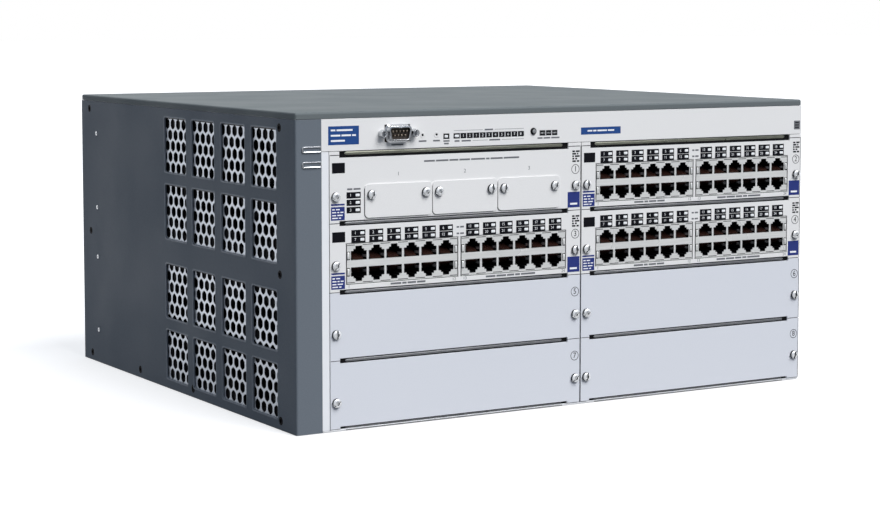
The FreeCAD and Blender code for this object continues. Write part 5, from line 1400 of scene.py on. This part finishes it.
# %% Honeycomb walls
WALL_RUN = (-193.8, 193.8)
WALL_SPAN = (1.2, 218.8)
WALL_SHEET, WALL_FLANGE, FLANGE_SET, NOTCH_OVER = 1, 10, 2, 1
CELL_FLAT, CELL_CORNER, CELL_POINTS = 3.8, 4.1, 24
SCREW_HOLE, NUT_HOLE = 1.65, 2.9
HOLE_DEPTHS = (-2 * WALL_SHEET, WALL_SHEET)


def wall_section(depth):
    """The folded channel in cross-section, at one depth."""
    outer, inner, tip = -WALL_FACE, WALL_SHEET - WALL_FACE, WALL_FLANGE - WALL_FACE
    low, high = WALL_SPAN
    corners = [(outer, low), (tip, low), (tip, low + WALL_SHEET), (inner, low + WALL_SHEET),
               (inner, high - WALL_SHEET), (tip, high - WALL_SHEET), (tip, high), (outer, high)]
    return [(x, depth, z) for x, z in corners]


solid, tool = drawings(2)
loft(solid, [wall_section(depth) for depth in WALL_RUN])
for y, z in cells:
    rings = [hexagon_ring(CELL_FLAT, CELL_CORNER, depth, CELL_POINTS) for depth in HOLE_DEPTHS]
    loft(tool, rings, facing(LEFT_TURN, -WALL_FACE, y, z))
for radius, places in ((SCREW_HOLE, SIDE_SCREWS), (NUT_HOLE, NUT_PLACES)):
    for y, z in places:
        plate(tool, circle(radius), *HOLE_DEPTHS, facing(LEFT_TURN, -WALL_FACE, y, z))
notch = rectangle(WALL_SHEET - WALL_FACE, WALL_FLANGE - WALL_FACE + NOTCH_OVER, WALL_RUN[0] - NOTCH_OVER,
                  WALL_RUN[0] + FLANGE_SET)
for middle in WALL_SPAN:
    plate(tool, notch, middle - 2 * WALL_SHEET, middle + 2 * WALL_SHEET)
WALL = carved("honeycomb_wall", solid, tool)
for name, way in (("left", 1), ("right", -1)):
    mesh = bmesh.new()
    stamp(mesh, WALL, Matrix.Scale(way, 4, (1, 0, 0)))
    piece(f"{name}_honeycomb_wall", mesh, "honeycomb_zinc", replaces=(f"{name}_inner_wall",))
print("faces of a wall:", len(WALL.polygons))

# %% [markdown]
# A module that is pulled out shows its board, so the board needs its parts: finned coolers on the three
# switching chips, a row of isolating transformers behind the sockets, small chips with leads,
# capacitors, and the ribbed plug that meets the backplane. One board's worth is drawn and then stamped
# on each module.

# %% Blocks and leads
SLOPE, WIDE_SLOPE = 0.3, 0.5
LEADS, LEAD_HALF, LEAD_SHEET = 8, 0.3, 0.2
LEAD_PATH = ((0, 1), (1, 0.9), (1.3, 0.05), (2.1, 0.05))


def chamfered(mesh, left, front, low, width, depth, height, slope=SLOPE):
    """A moulded block with its upper edges drawn in."""
    foot = rectangle(left, left + width, front, front + depth)
    crown = rectangle(left + slope, left + width - slope, front + slope, front + depth - slope)
    loft(mesh, [raised(foot, low), raised(foot, low + height - slope), raised(crown, low + height)])


def spread(start, room, width, count):
    """The left edges of a number of things of one width, spread evenly over a room."""
    return [start + (room - width) * step / (count - 1) for step in range(count)]


def chip_leads(mesh, left, front, width, depth):
    """Bent leads along both long edges of a small chip."""
    for lead in range(LEADS):
        x = left + width * (lead + 0.5) / LEADS
        for edge, away in ((front, -1), (front + depth, 1)):
            loft(mesh, [[(x + across, edge + away * out, z + up) for across, up in
                         rectangle(-LEAD_HALF, LEAD_HALF, 0, LEAD_SHEET)] for out, z in LEAD_PATH])


print("leads of a small chip:", 2 * LEADS)

# %% Parts on the module boards
BOARD_RISE = 5.5
ON_BOARD, OVER_BOARD = 0.02, 0.3
CHIP_LEFTS, CHIP_FRONT = (25.3, 77.3, 129.3), -125
CHIP_SIDE, CHIP_HEIGHT, CHIP_EDGE = 30, 3, 0.3
FINS, FIN_SHEET, FIN_HEIGHT = 10, 1.2, 9
COOLER_LOW, COOLER_FOOT = 3.35, 2
TRANSFORMER_FRONT, TRANSFORMER_SIZE = -164, (12.4, 9, 5.6)
SMALL_CHIPS = [(24 + 26 * step, front) for front in (-78, -48, 4) for step in range(7)]
SMALL_CHIP_SIZE = (14, 7.5, 1.7)
CANS, CAN_POINTS = [(20 + 11 * step, -22) for step in range(15)], 24
CAN_PROFILE = ((3.3, 0), (3.3, 0.8), (3, 1.2), (3.3, 1.6), (3.3, 8.6), (3, 9), (2.7, 9), (2.5, 8.8))
CRYSTALS = ((62, -142), (114, -142), (166, -142))
CRYSTAL_BOX, CRYSTAL_ROUND, CRYSTAL_SPAN = (-5.5, 5.5, -2.2, 2.2), 2.1, (0.05, 3.2)
PLUG_LEFT, PLUG_FRONT = 62.9, 21.6
PLUG_WIDTH, PLUG_DEPTH, PLUG_HEIGHT = 80.8, 16.3, 10.4
PLUG_RIBS, PLUG_RIB, RIB_HEIGHT, RIB_SIDE, RIB_END = 14, 2.6, 0.8, 2, 3
BOARD_LOOKS = {"packages": "chip_black", "coolers": "cooling_fin", "leads": "finger_steel",
               "capacitors": "black_plastic", "plug": "grey_plastic"}


def board_parts(ports):
    """Mesh data of everything that stands on a board, by its name."""
    packages, coolers, leads, cans, plug = meshes = drawings(len(BOARD_LOOKS))
    for left in CHIP_LEFTS:
        corner = (left - CHIP_EDGE, CHIP_FRONT - CHIP_EDGE, ON_BOARD)
        side = CHIP_SIDE + 2 * CHIP_EDGE
        chamfered(packages, *corner, side, side, CHIP_HEIGHT + CHIP_EDGE)
        chamfered(coolers, left, CHIP_FRONT, COOLER_LOW, CHIP_SIDE, CHIP_SIDE, COOLER_FOOT)
        for start in spread(left, CHIP_SIDE, FIN_SHEET, FINS):
            corner = (start, CHIP_FRONT, COOLER_LOW + COOLER_FOOT)
            chamfered(coolers, *corner, FIN_SHEET, CHIP_SIDE, FIN_HEIGHT)
    if ports:
        for x in port_places(-TRANSFORMER_SIZE[0] / 2):
            chamfered(packages, x, TRANSFORMER_FRONT, OVER_BOARD, *TRANSFORMER_SIZE, WIDE_SLOPE)
    for spot in SMALL_CHIPS:
        chamfered(packages, *spot, OVER_BOARD, *SMALL_CHIP_SIZE)
        chip_leads(leads, *spot, *SMALL_CHIP_SIZE[:2])
    for x, y in CANS:
        turned(cans, CAN_PROFILE, Matrix.Translation((x, y, ON_BOARD)), CAN_POINTS)
    for x, y in CRYSTALS:
        plate(leads, rounded(*CRYSTAL_BOX, CRYSTAL_ROUND), *CRYSTAL_SPAN, Matrix.Translation((x, y, 0)))
    chamfered(plug, PLUG_LEFT, PLUG_FRONT, ON_BOARD, PLUG_WIDTH, PLUG_DEPTH, PLUG_HEIGHT, WIDE_SLOPE)
    for start in spread(PLUG_LEFT + RIB_SIDE, PLUG_WIDTH - 2 * RIB_SIDE, PLUG_RIB, PLUG_RIBS):
        corner = (start, PLUG_FRONT + RIB_END, PLUG_HEIGHT)
        chamfered(plug, *corner, PLUG_RIB, PLUG_DEPTH - 2 * RIB_END, RIB_HEIGHT)
    return [(label, mesh_data(label, mesh)) for label, mesh in zip(BOARD_LOOKS, meshes)]


PARTS = {ports: board_parts(ports) for ports in (False, True)}
for name, (left, low) in MODULES.items():
    for label, data in PARTS[name in PORT_MODULES]:
        mesh = bmesh.new()
        stamp(mesh, data, Matrix.Translation((left, 0, low + BOARD_RISE)))
        piece(f"{name}_board_{label}", mesh, BOARD_LOOKS[label], name)
print("faces on a board:", sum(len(data.polygons) for _, data in PARTS[True]))

# %% [markdown]
# The power supply at the back is pulled out by a bent strap. Seen from above the strap is one outline
# with round bends, raised to its height, and a bevel breaks its edges. Two screws hold its feet.

# %% Supply handle
HANDLE_MIDDLE, HANDLE_HALF, HANDLE_REACH = 98.5, 35, 24
HANDLE_BAR, HANDLE_FOOT, HANDLE_SHEET = 4, 12, 2
HANDLE_SPAN = (71.3, 85.3)
HANDLE_BENDS, HANDLE_BEVEL = 8, 0.5
STRAP = ((HANDLE_HALF - HANDLE_BAR, HANDLE_REACH - HANDLE_BAR, 5), (HANDLE_HALF - HANDLE_BAR, 0, 0),
         (HANDLE_HALF + HANDLE_FOOT, 0, 0), (HANDLE_HALF + HANDLE_FOOT, HANDLE_SHEET, 0.8),
         (HANDLE_HALF, HANDLE_SHEET, 2), (HANDLE_HALF, HANDLE_REACH, 9))
corners = [(way * x, y, radius) for way, half in ((1, STRAP), (-1, STRAP[::-1])) for x, y, radius in half]
outline = softened([(HANDLE_MIDDLE + x, SUPPLY_FACE + y) for x, y, _ in corners],
                   [radius for _, _, radius in corners], HANDLE_BENDS)
strap, screws = drawings(2)
plate(strap, outline, *HANDLE_SPAN)
rims = [edge for edge in strap.edges if edge.verts[0].co.z == edge.verts[1].co.z]
bmesh.ops.bevel(strap, geom=rims, offset=HANDLE_BEVEL, segments=2, profile=0.5, affect="EDGES",
                clamp_overlap=True)
for side in (-1, 1):
    x = HANDLE_MIDDLE + side * (HANDLE_HALF + HANDLE_FOOT / 2)
    place = facing(BACK_TURN, x, SUPPLY_FACE + HANDLE_SHEET, sum(HANDLE_SPAN) / 2)
    stamp(screws, BAY_SCREW, place @ spun(GOLDEN_TURN * x))
piece("supply_strap_handle", strap, "black_plastic", "power_supply", ("supply_handle",), "zinc_sheet")
piece("supply_handle_screws", screws, "bright_steel", "power_supply")
print("handle reach:", HANDLE_REACH)

# %% [markdown]
# The supply's face has a row of vent slots and a mains inlet. The slots are lined with black trays. The
# inlet is moulded: a rounded housing with a deep well and three metal blades in it.

# %% Supply vents and inlet
VENTS, VENT_FIRST, VENT_PITCH = 9, 165.0, 7
VENT_HALF, VENT_LOW, VENT_HIGH = 1.5, 25.3, 71.3
VENT_STEPS = ((0.02, -3.9), (0.02, -0.05), (0.25, -0.05), (0.25, -3.6))
INLET, INLET_BOX = (75.5, 48.3), (-14, 14, -11, 11)
INLET_STEPS = ((0.05, 1.4, -19.9), (0.05, 1.4, 1), (0.5, 1.6, 1.5), (2.2, 2.6, 1.5), (2.6, 3, 1),
               (2.6, 3, -16.8))
BLADES = ((-7, -2), (0, 2), (7, -2))
BLADE_STEPS = ((1, -16.9), (1, -6.5), (0.6, -5.9))
trays, inlet, blades = drawings(3)
for vent in range(VENTS):
    place = facing(BACK_TURN, VENT_FIRST - VENT_PITCH * vent, SUPPLY_FACE, 0)
    rings = []
    for inset, height in VENT_STEPS:
        half, low, high = VENT_HALF - inset, VENT_LOW + inset, VENT_HIGH - inset
        rings.append(raised(rectangle(-half, half, low, high), height))
    loft(trays, rings, place)
place = facing(BACK_TURN, INLET[0], SUPPLY_FACE, INLET[1])
stepped(inlet, INLET_BOX, INLET_STEPS, place)
for x, lift in BLADES:
    loft(blades, [raised(rectangle(x - half, x + half, lift - 2 * half, lift + 2 * half), height)
                  for half, height in BLADE_STEPS], place)
piece("supply_vent_trays", trays, "liner_plastic", "power_supply")
piece("supply_moulded_inlet", inlet, "black_plastic", "power_supply", ("supply_inlet",))
piece("supply_inlet_blades", blades, "bright_steel", "power_supply")
print("vents:", VENTS, "blades:", len(BLADES))

# %% [markdown]
# The rear panel is riveted to the case round its edge, stiffened by two pressed ribs, and carries an
# earth stud. A lamp on the supply shows that it runs.

# %% Rear panel fittings
BACK = 195.0
RIVET_PROFILE, RIVET_POINTS = ((1.9, 0), (1.9, 0.25), (1.6, 0.75), (1, 1.05), (0.4, 1.15)), 24
RIVETS = [(x, 208) for x in range(-200, 201, 50)]
RIVETS += [(side * 212, z) for side in (-1, 1) for z in (30, 75, 120, 165)]
RIBS, RIB_ENDS, RIB_BENDS = ((140, 150), (170, 180)), (-150, 150), 8
RIB_STEPS = ((0, 4.9, 0), (1.2, 3.7, 0.7), (2.6, 2.3, 1.1))
STUD = (-188, 125)
WASHER, WASHER_POINTS = ((6, 0), (6, 0.7), (5.8, 0.8)), 48
NUT_RINGS = ((4.04, 4.67, 0.8), (4.04, 4.67, 3.4), (3.9, 4.1, 4), (2, 2, 4), (2, 2, 8.4), (1.6, 1.6, 9))
LAMP, LAMP_PROFILE = (40, 62), ((2.2, 0), (2.2, 0.5), (1.7, 1.2), (0.8, 1.5))
rivets, ribs, stud, lamp = drawings(4)
for x, z in RIVETS:
    turned(rivets, RIVET_PROFILE, facing(BACK_TURN, x, BACK, z), RIVET_POINTS)
for span in RIBS:
    stepped(ribs, (*RIB_ENDS, *span), RIB_STEPS, facing(BACK_TURN, 0, BACK, 0), steps=RIB_BENDS)
place = facing(BACK_TURN, STUD[0], BACK, STUD[1])
turned(stud, WASHER, place, WASHER_POINTS)
loft(stud, [hexagon_ring(*ring) for ring in NUT_RINGS], place)
turned(lamp, LAMP_PROFILE, facing(BACK_TURN, LAMP[0], SUPPLY_FACE, LAMP[1]), RIVET_POINTS)
piece("rear_panel_rivets", rivets, "bright_steel")
piece("rear_panel_ribs", ribs, "dark_paint", slot="zinc_sheet")
piece("earth_stud", stud, "bright_steel")
piece("supply_lamp", lamp, "lamp_lens", "power_supply")
print("rivets:", len(RIVETS))
